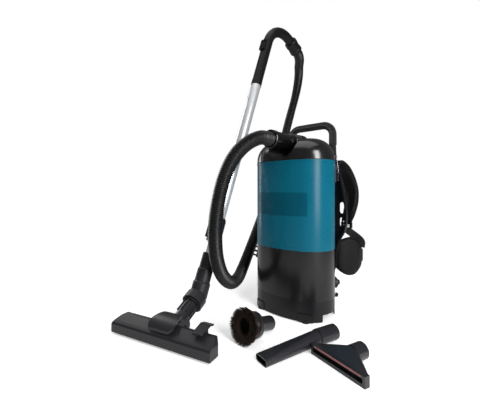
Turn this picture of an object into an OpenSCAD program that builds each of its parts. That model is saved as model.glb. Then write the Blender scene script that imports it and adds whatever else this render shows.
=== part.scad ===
// Backpack vacuum cleaner: canister with a harness, ribbed hose, telescopic wand,
// swivelling floor head and three hand tools on the floor beside it.
// Millimetres, +Z up. Everything is drawn with its origin on the floor under the canister's
// axis, its front facing -Y and its harness at +Y. place() then moves the origin along the
// floor to the middle of the whole group's box.

/* [Canister] */
// Width of the canister
body_w = 254; // [250:1:258]
// Depth of the canister
body_d = 172; // [170:1:175]
// Wall of the drum, the housing and the cap
wall = 3; // [2.5:0.1:3.5]
// Radius of the cap's rounded shoulder
shoulder_r = 62; // [56:1:64]

/* [Wand] */
// Lean of the wand from the vertical, degrees
lean = 21.4; // [20.5:0.1:22]
// Outer diameter of the chrome outer tube
outer_d = 35; // [34.8:0.1:35.4]
// Outer diameter of the chrome inner tube
inner_d = 32; // [31.6:0.1:32]
// Radius of the bend in the handle's centreline
bend_r = 110; // [106:1:114]

/* [Hose] */
// Diameter over the hose's ribs
hose_d = 40; // [38:0.5:40]
// Number of ribs along the hose
rib_count = 190; // [150:5:200]

/* [Floor head] */
// Width of the floor head
head_w = 308; // [290:2:310]
// Turn of the floor head in plan, degrees
head_yaw = 14; // [12:0.5:15]
// Rise of the neck above the floor, degrees
neck_rise = 25; // [23:1:27]

/* [Hidden] */
$fn = 64;
gap = 0.3;          // running clearance between separate bodies
centre = [13.8, -92.7];   // middle of the whole group's box in plan; the origin is put there

// Heights on the canister
tray_z = 22;        // lower edge of the tray between the feet
housing_z = 60;     // seam of tray and motor housing
drum_z = 201;       // seam of motor housing and teal drum
rim_z = 461;        // top of the drum
cap_z = 463.2;      // lower edge of the cap, just above the gasket
top_z = 529;        // crown of the cap
port_z = 520;       // axis of the hose port, which points to -Y
end_r = 80;         // radius of the canister's rounded ends in plan
end_x = body_w / 2 - end_r;
half_d = body_d / 2;
arc_r = (end_x * end_x + half_d * half_d - end_r * end_r) / (2 * (half_d - end_r));
arc_y = arc_r - half_d;
latch_turn = 40;    // latches sit this far behind the canister's widest line

black = [0.06, 0.06, 0.065];
charcoal = [0.16, 0.16, 0.17];
teal = [0, 0.40, 0.49];
steel = [0.75, 0.76, 0.78];

// ---------------------------------------------------------------- helpers

function unit(v) = v / norm(v);
function mix(a, b, t) = a + (b - a) * t;

// Catmull-Rom curve through points p; d0 and d1 are the directions at its two ends.
function phantom(p, d0, d1) = let (n = len(p))
    concat([p[1] - 2 * norm(p[1] - p[0]) * unit(d0)], p,
           [p[n - 2] + 2 * norm(p[n - 1] - p[n - 2]) * unit(d1)]);
function cr(a, b, c, d, t) = 0.5 * (2 * b + (c - a) * t + (2 * a - 5 * b + 4 * c - d) * t * t
    + (3 * b - a - 3 * c + d) * t * t * t);
function curve(p, d0, d1, steps) = let (q = phantom(p, d0, d1))
    [for (i = [0 : len(p) - 2], k = [0 : steps - 1]) cr(q[i], q[i + 1], q[i + 2], q[i + 3], k / steps),
     p[len(p) - 1]];

// Running length along a list of points, and points at equal steps of it.
function running(p) = [for (i = 0, s = 0; i < len(p); s = s + (i + 1 < len(p) ? norm(p[i + 1] - p[i]) : 0),
    i = i + 1) s];
function at_length(p, table, s) = let (f = lookup(s, table), i = min(floor(f), len(p) - 2))
    mix(p[i], p[i + 1], f - i);
function even(p, stations) = let (r = running(p), table = [for (i = [0 : len(p) - 1]) [r[i], i]])
    [for (s = stations) at_length(p, table, s)];
function tangents(p) = [for (i = [0 : len(p) - 1])
    unit(p[min(i + 1, len(p) - 1)] - p[max(i - 1, 0)])];
// Side directions carried along the path without twist.
function carried(t, n0) = [for (i = 0, n = unit(n0 - (n0 * t[0]) * t[0]); i < len(t);
    i = i + 1, n = i < len(t) ? unit(n - (n * t[i]) * t[i]) : n) n];

// One skin over rings of equal size: outer rings forward, then inner rings backward.
function skin_faces(rows, n) = [for (j = [0 : rows - 2], k = [0 : n - 1])
    let (a = j * n + k, b = j * n + (k + 1) % n) each [[a, b, b + n], [a, b + n, a + n]]];
function cap_faces(first, n, flip) = [for (k = [1 : n - 2])
    flip ? [first, first + k, first + k + 1] : [first, first + k + 1, first + k]];

// Flat band swept along path p. side is the band's width direction; widths and thicks
// hold one value per point.
module band(p, side, widths, thicks) {
    t = tangents(p);
    rows = [for (i = [0 : len(p) - 1]) let (w = unit(side - (side * t[i]) * t[i]), n = cross(t[i], w),
        a = widths[i] / 2, c = thicks[i] / 2, e = min(thicks[i] * 0.35, 4))
        each [p[i] + a * w + (c - e) * n, p[i] + (a - e) * w + c * n, p[i] - (a - e) * w + c * n,
              p[i] - a * w + (c - e) * n, p[i] - a * w - (c - e) * n, p[i] - (a - e) * w - c * n,
              p[i] + (a - e) * w - c * n, p[i] + a * w - (c - e) * n]];
    m = len(p);
    polyhedron(rows, concat([for (f = skin_faces(m, 8)) [f[0], f[2], f[1]]],
        cap_faces(0, 8, true), cap_faces((m - 1) * 8, 8, false)));
}

// Plan of the canister, drawn in by i: two round ends joined by two wide arcs.
module plan(i = 0) {
    for (s = [-1, 1]) translate([s * end_x, 0]) circle(r = end_r - i, $fn = 96);
    for (s = [-1, 1]) intersection() {
        translate([0, -s * arc_y]) circle(r = arc_r - i, $fn = 240);
        polygon([[-end_x, 0], [-end_x * 1.55, s * arc_y * 0.62], [end_x * 1.55, s * arc_y * 0.62], [end_x, 0]]);
    }
}
module slab(i, z0, z1) translate([0, 0, z0]) linear_extrude(z1 - z0) plan(i);

// Outline of the dome's section for an arc of radius r, drawn in by i.
module dome_section(r, i, z0, z1) {
    rs = shoulder_r - i;
    translate([0, z0]) square([r - i - rs, z1 - i - z0]);
    translate([0, z0]) square([r - i, z1 - i - rs - z0]);
    intersection() {
        translate([r - i - rs, z1 - i - rs]) circle(r = rs, $fn = 96);
        translate([0, z0]) square([r, z1 - z0]);
    }
}
// The bowed sides stand a hair above the ends, so that the two meet in clean edges.
module dome(i, z0, z1) {
    for (s = [-1, 1]) translate([s * end_x, 0, 0]) rotate_extrude($fn = 96) dome_section(end_r, i, z0, z1);
    for (s = [-1, 1]) intersection() {
        translate([0, -s * arc_y, 0]) rotate_extrude($fn = 240) dome_section(arc_r, i, z0, z1 + 0.3);
        translate([0, 0, z0 - 1]) linear_extrude(z1 - z0 + 2)
            polygon([[-end_x, 0], [-end_x * 1.55, s * arc_y * 0.62], [end_x * 1.55, s * arc_y * 0.62], [end_x, 0]]);
    }
}

module place() translate([-centre[0], -centre[1], 0]) children();

module tube(r1, r0, z0, z1) difference() {
    translate([0, 0, z0]) cylinder(r = r1, h = z1 - z0);
    translate([0, 0, z0 - 1]) cylinder(r = r0, h = z1 - z0 + 2);
}
module block(x, y, z) translate([x[0], y[0], z[0]]) cube([x[1] - x[0], y[1] - y[0], z[1] - z[0]]);
// Straight round bar between two points.
module bar(a, b, r) {
    d = b - a;
    translate(a) rotate([0, acos(d[2] / norm(d)), atan2(d[1], d[0])]) cylinder(r = r, h = norm(d), $fn = 48);
}
module both() { children(); mirror([1, 0, 0]) children(); }

// Local frame on a round end of the canister: +X points outward at angle a from +X.
module on_end(s, a) translate([s * end_x, 0, 0]) rotate([0, 0, s > 0 ? a : 180 - a]) children();
// Local frame of the hose port: +Z runs out along -Y from the scoop's back wall.
module at_port() translate([0, 22, port_z]) rotate([90, 0, 0]) children();

// ---------------------------------------------------------------- canister

foot_x = 78; foot_y = 66;

module base_tray() color(black) difference() {
    union() {
        difference() {
            slab(0.6, 2.5, housing_z);
            slab(3.6, 0, 22);
            slab(4, 26, housing_z + 1);
            // the skirt is cut away at the sides and the back, so it stands on the corners
            for (s = [-1, 1]) block([min(s * 90, s * 140), max(s * 90, s * 140)], [-38, 38], [-1, tray_z]);
            block([-46, 46], [60, 100], [-1, tray_z]);
        }
        for (s = [-1, 1], t = [-1, 1]) intersection() {
            translate([s * foot_x, t * foot_y, 2.5]) cylinder(r = 22, h = 23);
            slab(-2.4, 0, 60);
        }
        tube(58, 52, 25, 72);                       // ring that carries the motor
        difference() { slab(3.9, 26, 66); slab(6, 20, 70); }   // spigot inside the housing
    }
    for (s = [-1, 1], t = [-1, 1]) translate([s * foot_x, t * foot_y, 0]) cylinder(r = 12.1, h = 6);
    for (a = [0 : 30 : 330]) rotate([0, 0, a]) translate([30, 0, 20]) cylinder(r = 4, h = 10, $fn = 24);
}

module feet() color(charcoal) for (s = [-1, 1], t = [-1, 1])
    translate([s * foot_x, t * foot_y, 0]) cylinder(r = 12, h = 6);

module motor_housing() color(black) difference() {
    slab(0, housing_z, drum_z);
    slab(wall + 0.8, housing_z - 1, drum_z + 1);
    // louvres for the exhaust on the -X end
    for (a = [-30 : 7.5 : 30]) on_end(-1, a) translate([end_r - 8, -1.6, 78]) cube([16, 3.2, 44]);
    // window for the switch
    on_end(-1, 0) translate([end_r - 8, -8.8, 141.2]) cube([16, 17.6, 23.6]);
}

module motor() color([0.35, 0.36, 0.38]) difference() {
    union() {
        translate([0, 0, 72]) cylinder(r = 60, h = 78);
        translate([0, 0, 148]) cylinder(r = 68, h = 50);
        tube(30, 25, 196, drum_z);
        translate([0, 0, 146]) cylinder(r = 4, h = 48, $fn = 32);
    }
    tube(63, 4, 154, 195);
    translate([0, 0, 190]) cylinder(r = 25, h = 14);
    for (a = [0 : 30 : 330]) rotate([0, 0, a]) translate([50, -4, 80]) cube([14, 8, 40]);
    for (a = [15 : 30 : 345]) rotate([0, 0, a]) translate([60, -7, 160]) cube([12, 14, 26]);
}

// Backward-curved blades between two discs, turning on the motor's shaft.
module impeller() color(steel) {
    difference() {
        union() {
            translate([0, 0, 159]) cylinder(r = 58, h = 2);
            translate([0, 0, 159]) cylinder(r = 9, h = 26, $fn = 32);
            for (a = [0 : 45 : 315]) rotate([0, 0, a]) intersection() {
                translate([0, 38, 160]) difference() {
                    cylinder(r = 39.2, h = 22);
                    translate([0, 0, -1]) cylinder(r = 37.6, h = 24);
                }
                translate([8, 2, 159]) cube([46, 34, 26]);
            }
            difference() {
                translate([0, 0, 182]) cylinder(r = 58, h = 2);
                translate([0, 0, 181]) cylinder(r = 24, h = 4);
            }
        }
        translate([0, 0, 150]) cylinder(r = 4.08, h = 40, $fn = 32);
    }
}

module motor_filter() color([0.85, 0.85, 0.8]) {
    tube(56, 12, drum_z + 5, drum_z + 12);
    for (a = [0 : 12 : 348]) rotate([0, 0, a]) translate([14, -1, drum_z + 12]) cube([40, 2, 5]);
}

module drum_shell() color(teal) difference() {
    union() {
        slab(0, drum_z, rim_z - 4);
        slab(-1, rim_z - 6, rim_z);                 // rolled rim
    }
    difference() { slab(wall, drum_z + 5, rim_z + 1); ledge(); }
    translate([0, 0, drum_z - 1]) cylinder(r = 45, h = 8);
    // shallow bare panel on the front
    difference() {
        block([-84, 84], [-100, -20], [301, 363]);
        slab(0.8, 300, 364);
    }
}
module ledge() difference() { slab(-5, 432, 440); slab(8, 430, 442); }

module cap_gasket() color(black) difference() { slab(0.4, rim_z, rim_z + 2); slab(3, rim_z - 1, rim_z + 3); }

// Cage for the dust bag: a rim on the drum's ledge, uprights and hoops, and a floor.
module filter_basket() color([0.55, 0.56, 0.58]) {
    difference() { slab(wall + 0.5, 440, 443); slab(11, 439, 444); }
    difference() {
        slab(9, 226, 441);
        slab(11, 228, 442);
        for (z = [236 : 34 : 406]) {
            for (x = [-44 : 22 : 44]) translate([x - 8, -100, z]) cube([16, 200, 27]);
            for (s = [-1, 1], a = [-60 : 20 : 60]) on_end(s, a) translate([56, -8, z]) cube([30, 16, 27]);
        }
        for (x = [-60 : 20 : 60]) translate([x, 0, 220]) cylinder(r = 7, h = 12, $fn = 24);
    }
}

module filter_bag() color([0.82, 0.78, 0.68]) difference() {
    union() { slab(14, 228, 424); slab(22, 423, 431); }
    translate([0, 36, 380]) cylinder(r = 18.5, h = 60);
}

// Toggle latch, in the frame of on_end(s, latch_turn). The lever turns on pivot_l at the
// top of its base and the bail on pivot_b below it, just inside the line of pull.
pivot_l = [88, 446]; pivot_b = [88.6, 428]; hook_at = [82.6, 488.6]; bail_y = 14.8;
module cross(p, r, w) translate([p[0], w / 2, p[1]]) rotate([90, 0, 0]) cylinder(r = r, h = w, $fn = 32);

module latch_base() difference() {
    union() {
        block([76, 83.4], [-13, 13], [398, 453]);
        for (s = [-1, 1]) hull() {
            translate([0, s * 11.6, 0]) cross(pivot_l, 4.5, 2.8);
            block([82, 83], [s * 11.6 - 1.4, s * 11.6 + 1.4], [434, 453]);
        }
    }
    translate([0, 0, 390]) cylinder(r = end_r, h = 70, $fn = 360);
    cross(pivot_l, 2.28, 40);
    for (z = [424, 404]) translate([70, 0, z]) rotate([0, 90, 0]) cylinder(r = 1.6, h = 20, $fn = 24);
}
module latch_bases() color(steel) for (s = [-1, 1]) on_end(s, latch_turn) latch_base();

module latch_lever(s) color(steel) on_end(s, latch_turn) difference() {
    union() {
        cross(pivot_l, 2.2, 26);
        cross(pivot_l, 3.6, 20);
        block([89.4, 91.4], [-10, 10], [421, 446]);
        block([89.4, 91.4], [-7, 7], [404, 422]);
        cross(pivot_b, 3.0, 20);
        cross([90.8, 404], 2.2, 14);
    }
    cross(pivot_b, 1.4, 40);
}
module latch_lever_l() latch_lever(-1);
module latch_lever_r() latch_lever(1);

// Wire bail: two pins, two legs and the bar that sits over the cap's catch.
module latch_bail(s) color(steel) on_end(s, latch_turn) {
    p = [pivot_b[0], bail_y, pivot_b[1]];
    q = [hook_at[0], bail_y, hook_at[1]];
    for (m = [0, 1]) mirror([0, m, 0]) {
        bar(p, [p[0], 5, p[2]], 1.3);
        bar(p, q, 1.3);
        for (c = [p, q]) translate(c) sphere(r = 1.42, $fn = 48);
    }
    bar(q, [q[0], -bail_y, q[2]], 1.3);
}
module latch_bail_l() latch_bail(-1);
module latch_bail_r() latch_bail(1);

// Round boss on the housing where the mains cord enters, with its cable bore.
module cord_gland() color(black) on_end(1, 48) difference() {
    translate([0, 0, 90]) rotate([0, 90, 0]) {
        translate([0, 0, 76]) cylinder(r = 17, h = 13);
        translate([0, 0, 89]) cylinder(r1 = 17, r2 = 13, h = 4);
        translate([0, 0, 93]) cylinder(r1 = 9, r2 = 7.5, h = 7);
    }
    translate([0, 0, 60]) cylinder(r = end_r, h = 60, $fn = 96);
    translate([88, 0, 90]) rotate([0, 90, 0]) cylinder(r = 4.2, h = 40);
}

module cord_hook() color(black) on_end(1, 48) difference() {
    union() {
        block([77, 83], [-5, 5], [46, 72]);
        block([82, 94], [-5, 5], [46, 50]);
        translate([93, 5, 52]) rotate([90, 0, 0]) cylinder(r = 3, h = 10, $fn = 32);
        block([90.5, 95.5], [-5, 5], [50, 56]);
    }
    translate([0, 0, 60]) cylinder(r = end_r, h = 60, $fn = 96);
    translate([0, 0, 40]) cylinder(r = end_r - 0.6, h = 21, $fn = 96);
}

module switch_bezel() color(charcoal) on_end(-1, 0) difference() {
    block([75, 82.6], [-12, 12], [138, 168]);
    difference() {
        translate([0, 0, 130]) cylinder(r = end_r, h = 50, $fn = 96);
        block([72, 90], [-8.8, 8.8], [141.2, 164.8]);
    }
    block([76.5, 90], [-6.8, 6.8], [143, 163]);
    block([70, 90], [-3, 3], [146, 160]);
    cross([80.5, 153], 1.58, 18);
}

// Rocker on a level pin, tipped to its off side.
module switch_rocker() color(black) on_end(-1, 0) translate([80.5, 0, 153]) rotate([0, 7, 0]) {
    difference() {
        translate([-14.4, 6.2, 0]) rotate([90, 0, 0]) cylinder(r = 19, h = 12.4, $fn = 96);
        block([-40, -1], [-10, 10], [-30, 30]);
        block([-40, 20], [-10, 10], [8.6, 30]);
        block([-40, 20], [-10, 10], [-30, -8.6]);
    }
    cross([0, 0], 1.5, 16);
}

// ---------------------------------------------------------------- harness

plate_y = 97; plate_t = 5; pad_y = plate_y + plate_t;

// Half outline of the moulded plate, from the top middle down its +X side.
plate_side = [[66, 498], [92, 474], [110, 420], [124, 350], [131, 296], [126, 250], [108, 215],
    [98, 180], [96, 140], [84, 108], [60, 96]];
function plate_half(d) = [for (q = curve([for (q = plate_side) [q[0], q[1], 0]], [1, -0.3, 0], [-1, -0.1, 0], 4))
    [max(q[0] - d, 1), mix(q[1], 297, d / 200)]];
module plate_outline(d = 0) {
    h = plate_half(d);
    polygon(concat(h, [for (i = [len(h) - 1 : -1 : 0]) [-h[i][0], h[i][1]]]));
}
// Stands a plan drawing in X and Z up as a sheet from y0 to y1.
module upright(y0, y1) translate([0, y1, 0]) rotate([90, 0, 0]) linear_extrude(y1 - y0) children();

module hand_slot(h) {
    square([15, h - 15], center = true);
    for (t = [-1, 1]) translate([0, t * (h - 15) / 2]) circle(r = 7.5);
}
module slot_pair() for (s = [-1, 1]) {
    translate([s * 113, 318]) hand_slot(36);
    translate([s * 113, 273]) hand_slot(30);
}
spacer_at = [[-45, 130], [45, 130], [-45, 400], [45, 400]];

module backplate() color(black) difference() {
    union() {
        upright(plate_y, pad_y) plate_outline();
        // raised rim and two long stiffening ribs towards the canister
        upright(plate_y - 7, plate_y + 1) difference() { plate_outline(); plate_outline(5); slot_pair(); }
        for (s = [-1, 1]) block([s * 24 - 2, s * 24 + 2], [plate_y - 6, plate_y + 1], [150, 440]);
    }
    upright(plate_y - 20, pad_y + 20) slot_pair();
    for (p = spacer_at) translate([p[0], 120, p[1]]) rotate([90, 0, 0]) cylinder(r = 2.6, h = 60, $fn = 32);
    for (z = [180 : 40 : 380]) upright(plate_y - 20, pad_y + 20) translate([0, z]) rotate(90) hand_slot(34);
}

module plate_spacers() color(charcoal) for (p = spacer_at) difference() {
    translate([p[0], plate_y, p[1]]) rotate([90, 0, 0]) cylinder(r = 9, h = 22);
    slab(0, p[1] - 12, p[1] + 12);
    translate([p[0], 120, p[1]]) rotate([90, 0, 0]) cylinder(r = 2.55, h = 60, $fn = 32);
}

module plate_screws() color(steel) for (p = spacer_at) translate([p[0], 0, p[1]]) rotate([-90, 0, 0]) difference() {
    union() {
        translate([0, 0, 88]) cylinder(r = 2.4, h = pad_y - 88 + 0.5, $fn = 32);
        translate([0, 0, pad_y]) cylinder(r = 5, h = 2.6, $fn = 32);
    }
    translate([0, 0, pad_y + 1]) cylinder(r = 2, h = 3, $fn = 6);
}

module back_pad() color(charcoal) difference() {
    union() {
        upright(pad_y, pad_y + 9) plate_outline(27);
        upright(pad_y + 8, pad_y + 13) plate_outline(33);
    }
    for (p = spacer_at) translate([p[0], 130, p[1]]) rotate([90, 0, 0]) cylinder(r = 11, h = 40);
    upright(pad_y - 5, pad_y + 30) for (z = [180 : 40 : 380]) translate([0, z]) rotate(90) hand_slot(46);
    block([-120, 120], [100, 130], [428, 520]);
}

strap_path = [[70, 106.6, 434], [71, 107.6, 448], [75, 115, 460], [83, 132, 464], [93, 157, 445],
    [100, 180, 412], [105, 193, 375], [105, 195, 335], [99, 191, 298], [91, 188, 264]];
module shoulder_strap() {
    p = curve(strap_path, [0, 0, 1], [0, 0, -1], 4);
    m = len(p) - 1;
    band(p, [1, 0, 0], [for (i = [0 : m]) 50 - 14 * pow(abs(i / m - 0.4) / 0.6, 3)],
        [for (i = [0 : m]) 14 - 5 * pow(abs(i / m - 0.5) * 2, 4)]);
}
module shoulder_strap_r() color(black) shoulder_strap();
module shoulder_strap_l() color(black) mirror([1, 0, 0]) shoulder_strap();

web_path = [[91, 188, 245], [95, 191, 236], [112, 199, 221], [131, 198, 207], [141, 189, 197], [142, 181, 186]];
module strap_webbing() color(black) both() {
    p = curve(web_path, [0, 0, -1], [0, -0.3, -1], 3);
    band(p, [1, 0.2, 0.6], [for (q = p) 24], [for (q = p) 2.2]);
}

// Ladder buckle at the lower end of each shoulder strap.
module strap_buckles() color(black) both() translate([91, 188, 258]) rotate([0, 0, -8]) difference() {
    block([-19, 19], [-4.5, 4.5], [-13, 6]);
    for (z = [-9.5, -3.5]) block([-13, 13], [-6, 6], [z - 1.6, z + 2.2]);
}

// D ring on a short loop high on each side of the plate.
module strap_rings() color(steel) both() translate([107, pad_y + 2, 372]) rotate([90, 0, 0]) {
    difference() {
        rotate_extrude($fn = 48) translate([11, 0]) circle(r = 2, $fn = 24);
        translate([0, 6, -5]) block([-20, 20], [0, 20], [0, 10]);
    }
    rotate([0, 90, 0]) translate([0, 6, -11]) cylinder(r = 2, h = 22, $fn = 24);
    block([-8, 8], [4.5, 12], [-2.2, 2]);
}

wing_path = [[84, 109, 165], [96, 110.5, 165], [110, 120, 164], [125, 136, 162], [137, 157, 160], [142, 180, 158]];
module waist_wing() {
    p = curve(wing_path, [1, 0, 0], [0.1, 1, 0], 3);
    m = len(p) - 1;
    band(p, [0, 0, 1], [for (i = [0 : m]) 78 + 48 * sin(162 * i / m) - 40 * pow(i / m, 6)],
        [for (i = [0 : m]) 14 - 4 * pow(i / m, 4)]);
}
module waist_wing_r() color(black) waist_wing();
module waist_wing_l() color(black) mirror([1, 0, 0]) waist_wing();

tail_l = [[-142, 180, 158], [-146, 188, 157], [-160, 196, 154], [-196, 182, 144], [-232, 160, 132], [-252, 146, 122]];
tail_r = [[142, 180, 158], [138, 206, 157], [118, 220, 152], [88, 224, 148]];
module belt_webbing() color(black) {
    pl = curve(tail_l, [0, 1, 0], [-1, -0.6, -0.4], 3);
    band(pl, [0, 0, 1], [for (q = pl) 38], [for (q = pl) 2.4]);
    pr = curve(tail_r, [0, 1, 0], [-1, 0.1, -0.1], 3);
    band(pr, [0, 0, 1], [for (q = pr) 38], [for (q = pr) 2.4]);
}
module belt_tongue() color(black) translate([-253, 145.4, 121.4]) rotate([0, -14, -145]) difference() {
    union() {
        block([-2, 12], [-4, 4], [-24, 24]);
        block([11, 34], [-3, 3], [-4, 4]);
        for (s = [-1, 1]) block([11, 30], [-3, 3], [min(s * 14, s * 20), max(s * 14, s * 20)]);
    }
    block([2, 6], [-6, 6], [-20, 20]);
}
module belt_socket() color(black) translate([87, 224, 148]) rotate([0, 0, 176]) difference() {
    union() {
        block([-2, 10], [-4, 4], [-24, 24]);
        block([9, 40], [-7, 7], [-25, 25]);
    }
    block([2, 6], [-6, 6], [-20, 20]);
    block([18, 41], [-3.6, 3.6], [-21, 21]);
}

// Padded carry loop: a bent round pad and two flat tabs on the plate.
loop_x = 79; loop_z = 588; loop_bend = 34;
module carry_handle() color(black) translate([0, 106, 0]) rotate([90, 0, 0]) {
    for (s = [0, 1]) mirror([s, 0, 0]) {
        translate([loop_x - loop_bend, loop_z - loop_bend, 0]) rotate_extrude(angle = 90, $fn = 96)
            translate([loop_bend, 0]) circle(r = 11, $fn = 48);
        translate([loop_x, 516, 0]) rotate([-90, 0, 0]) cylinder(r = 11, h = loop_z - loop_bend - 516, $fn = 48);
        translate([loop_x, 507, 0]) rotate([-90, 0, 0]) cylinder(r1 = 7, r2 = 11, h = 9, $fn = 48);
        block([loop_x - 12, loop_x + 12], [462, 512], [0.4, 4]);
    }
    translate([-(loop_x - loop_bend), loop_z, 0]) rotate([0, 90, 0]) cylinder(r = 11, h = 2 * (loop_x - loop_bend), $fn = 48);
}

// ---------------------------------------------------------------- cap and port

// The scoop opens forward and down from its back wall, so the cuff lies in it.
module scoop(grow) at_port() translate([0, 0, -grow]) cylinder(r1 = 33 + grow, r2 = 55 + grow, h = 120 + grow);

module cap_dome() color(black) difference() {
    union() {
        difference() {
            union() { difference() { dome(0, cap_z, top_z); scoop(0); } port_boss(31, 16); }
            difference() { dome(wall, cap_z - 1, top_z); scoop(wall); }
        }
        // spigot that drops into the drum
        difference() { slab(3.4, 449, cap_z + 1); slab(6, 448, cap_z + 2); }
        difference() { slab(1, cap_z, cap_z + 3.4); slab(6, cap_z - 1, cap_z + 5); }
    }
    port_boss(28, 22 + wall);
    at_port() translate([0, 0, -10]) cylinder(r = 22.2, h = 30);
}
// Round hood over the elbow behind the scoop, from y = from backwards.
module port_boss(r, from) intersection() {
    union() {
        translate([0, 34, port_z]) sphere(r = r + 0.4, $fn = 96);
        translate([0, 34, port_z]) rotate([90, 0, 0]) cylinder(r = r, h = 24);
    }
    translate([-60, from, cap_z + 4]) cube([120, 100, 200]);
}

// Fixed sleeve: flange behind the wall, seat for the bellows, stop ring for the cuff,
// and inside the cap an elbow down to the bag. The duct is flat behind the scoop's wall.
module inlet_neck() color(charcoal) difference() {
    union() {
        at_port() {
            cylinder(r = 22, h = 54);
            translate([0, 0, -5.8]) cylinder(r = 26, h = 2.8);
            translate([0, 0, -5.8]) cylinder(r = 22, h = 6);
            translate([0, 0, 53]) cylinder(r = 19.6, h = 85);
            translate([0, 0, 62]) cylinder(r = 21.8, h = 4);
        }
        translate([0, duct_y, port_z]) sphere(r = 19, $fn = 64);
        duct(18, 25.3, 426);
    }
    translate([0, duct_y, port_z]) rotate([90, 0, 0]) cylinder(r = 16, h = 200);
    translate([0, duct_y, port_z]) sphere(r = 16, $fn = 64);
    duct(16, 27.3, 400);
}
duct_y = 36;
module duct(r, front, z0) intersection() {
    translate([0, duct_y, z0]) cylinder(r = r, h = port_z - z0);
    block([-30, 30], [front, 80], [z0 - 1, port_z + 1]);
}

// Rubber bellows round the sleeve, with five folds.
module inlet_bellows() color(black) at_port() rotate_extrude($fn = 96) difference() {
    union() {
        translate([22, 6.1]) square([4.4, 45.9]);
        for (k = [0 : 4]) translate([26.4, 10 + k * 9.4]) circle(r = 3.4, $fn = 32);
    }
    square([22.15, 80]);
}

// Swivel cuff with its captive groove; the hose ends inside it.
module inlet_cuff() color(black) at_port() difference() {
    rotate_extrude($fn = 96) polygon([[20.5, 56], [26, 56], [28, 58.5], [28, 72], [25.6, 76], [25.2, 132],
        [27, 135], [27, 151], [25.5, 153], [20.5, 153]]);
    translate([0, 0, 61]) cylinder(r = 22.2, h = 6);
    translate([0, 0, 55]) cylinder(r1 = 21, r2 = 20.5, h = 2);
}

// Radius of the cap's round end at height z, and a stepped catch seated on it.
function end_at(z) = end_r - shoulder_r + sqrt(pow(shoulder_r, 2) - pow(max(0, z + shoulder_r - top_z), 2));
module cap_catches() color(black) for (s = [-1, 1]) on_end(s, latch_turn) rotate([0, 0, -8.6])
    rotate_extrude(angle = 17.2, $fn = 96) polygon([[81, 468], [81, 474], [82.6, 474], [82.6, 486.2],
        for (k = [0 : 7]) let (z = 486.2 - 2.6 * k) [end_at(z) + 0.12, z]]);

// ---------------------------------------------------------------- wand

// Pivot of the neck in the floor head, and the point where neck and wand meet.
head_at = [-116, -427]; pivot_y = 72; pivot_z = 27; elbow_v = 110.2;
elbow_s = pivot_y + elbow_v * cos(neck_rise);
elbow = [head_at[0] - elbow_s * sin(head_yaw), head_at[1] + elbow_s * cos(head_yaw),
         pivot_z + elbow_v * sin(neck_rise)];
module at_wand() translate(elbow) rotate([-lean, 0, 0]) children();

chrome_top = 716; bend_u = 906.6; bend_turn = 65;
bend_c = [elbow[1] + bend_u * sin(lean) + bend_r * cos(lean), elbow[2] + bend_u * cos(lean) - bend_r * sin(lean)];
handle_end = [bend_c[0] + bend_r * cos(bend_turn), bend_c[1] + bend_r * sin(bend_turn)];
// Local frame at the handle's end: +Z along the hose.
module at_grip_end() translate([elbow[0], handle_end[0], handle_end[1]])
    rotate([-(180 - bend_turn), 0, 0]) children();
// Draws in the wand's own plane: drawing X is Y, drawing Y is Z.
module bend_frame() translate([elbow[0], bend_c[0], bend_c[1]]) rotate([90, 0, 90]) children();

// Handle: spigot and collar on the chrome tube, straight grip, bend, and hose end.
module handle_tube() color(black) difference() {
    union() {
        at_wand() rotate_extrude($fn = 96) polygon([[0, chrome_top - 34], [outer_d / 2 - 1, chrome_top - 34],
            [outer_d / 2 - 1, chrome_top], [18.6, chrome_top], [18.6, chrome_top + 20],
            [18, chrome_top + 25], [18, bend_u + 1], [0, bend_u + 1]]);
        bend_frame() rotate([0, 0, bend_turn]) rotate_extrude(angle = 180 - lean - bend_turn, $fn = 120)
            translate([bend_r, 0]) circle(r = 17.8, $fn = 96);
        at_grip_end() rotate_extrude($fn = 96) polygon([[0, -1], [18, -1], [18, 6], [19.8, 6],
            [19.8, 10], [18, 10], [18, 14], [0, 14]]);
        at_wand() block([-11, 11], [-24, 0], [860, 902]);      // seat of the relief slider
    }
    bend_frame() rotate([0, 0, bend_turn]) rotate_extrude(angle = 180 - lean - bend_turn, $fn = 120)
        translate([bend_r, 0]) circle(r = 14.5, $fn = 96);
    at_grip_end() translate([0, 0, -1]) cylinder(r = 14.6, h = 30, $fn = 96);
    at_wand() {
        translate([0, 0, 600]) cylinder(r = 14.6, h = bend_u - 599, $fn = 96);
        block([-9.4, 9.4], [-30, -21.4], [866, 896]);
        block([-3, 3], [-30, -8], [872, 884]);
    }
}
module relief_slider() color(charcoal) at_wand() {
    block([-9, 9], [-24.2, -21.7], [866.4, 887]);
    for (k = [0 : 3]) block([-8, 8], [-25.4, -24], [869 + 4.4 * k, 871 + 4.4 * k]);
}

module outer_tube() color(steel) at_wand() tube(outer_d / 2, outer_d / 2 - 1, 166, chrome_top);
module inner_tube() color(steel) at_wand() tube(inner_d / 2, inner_d / 2 - 1.2, 72, 640);

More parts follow.
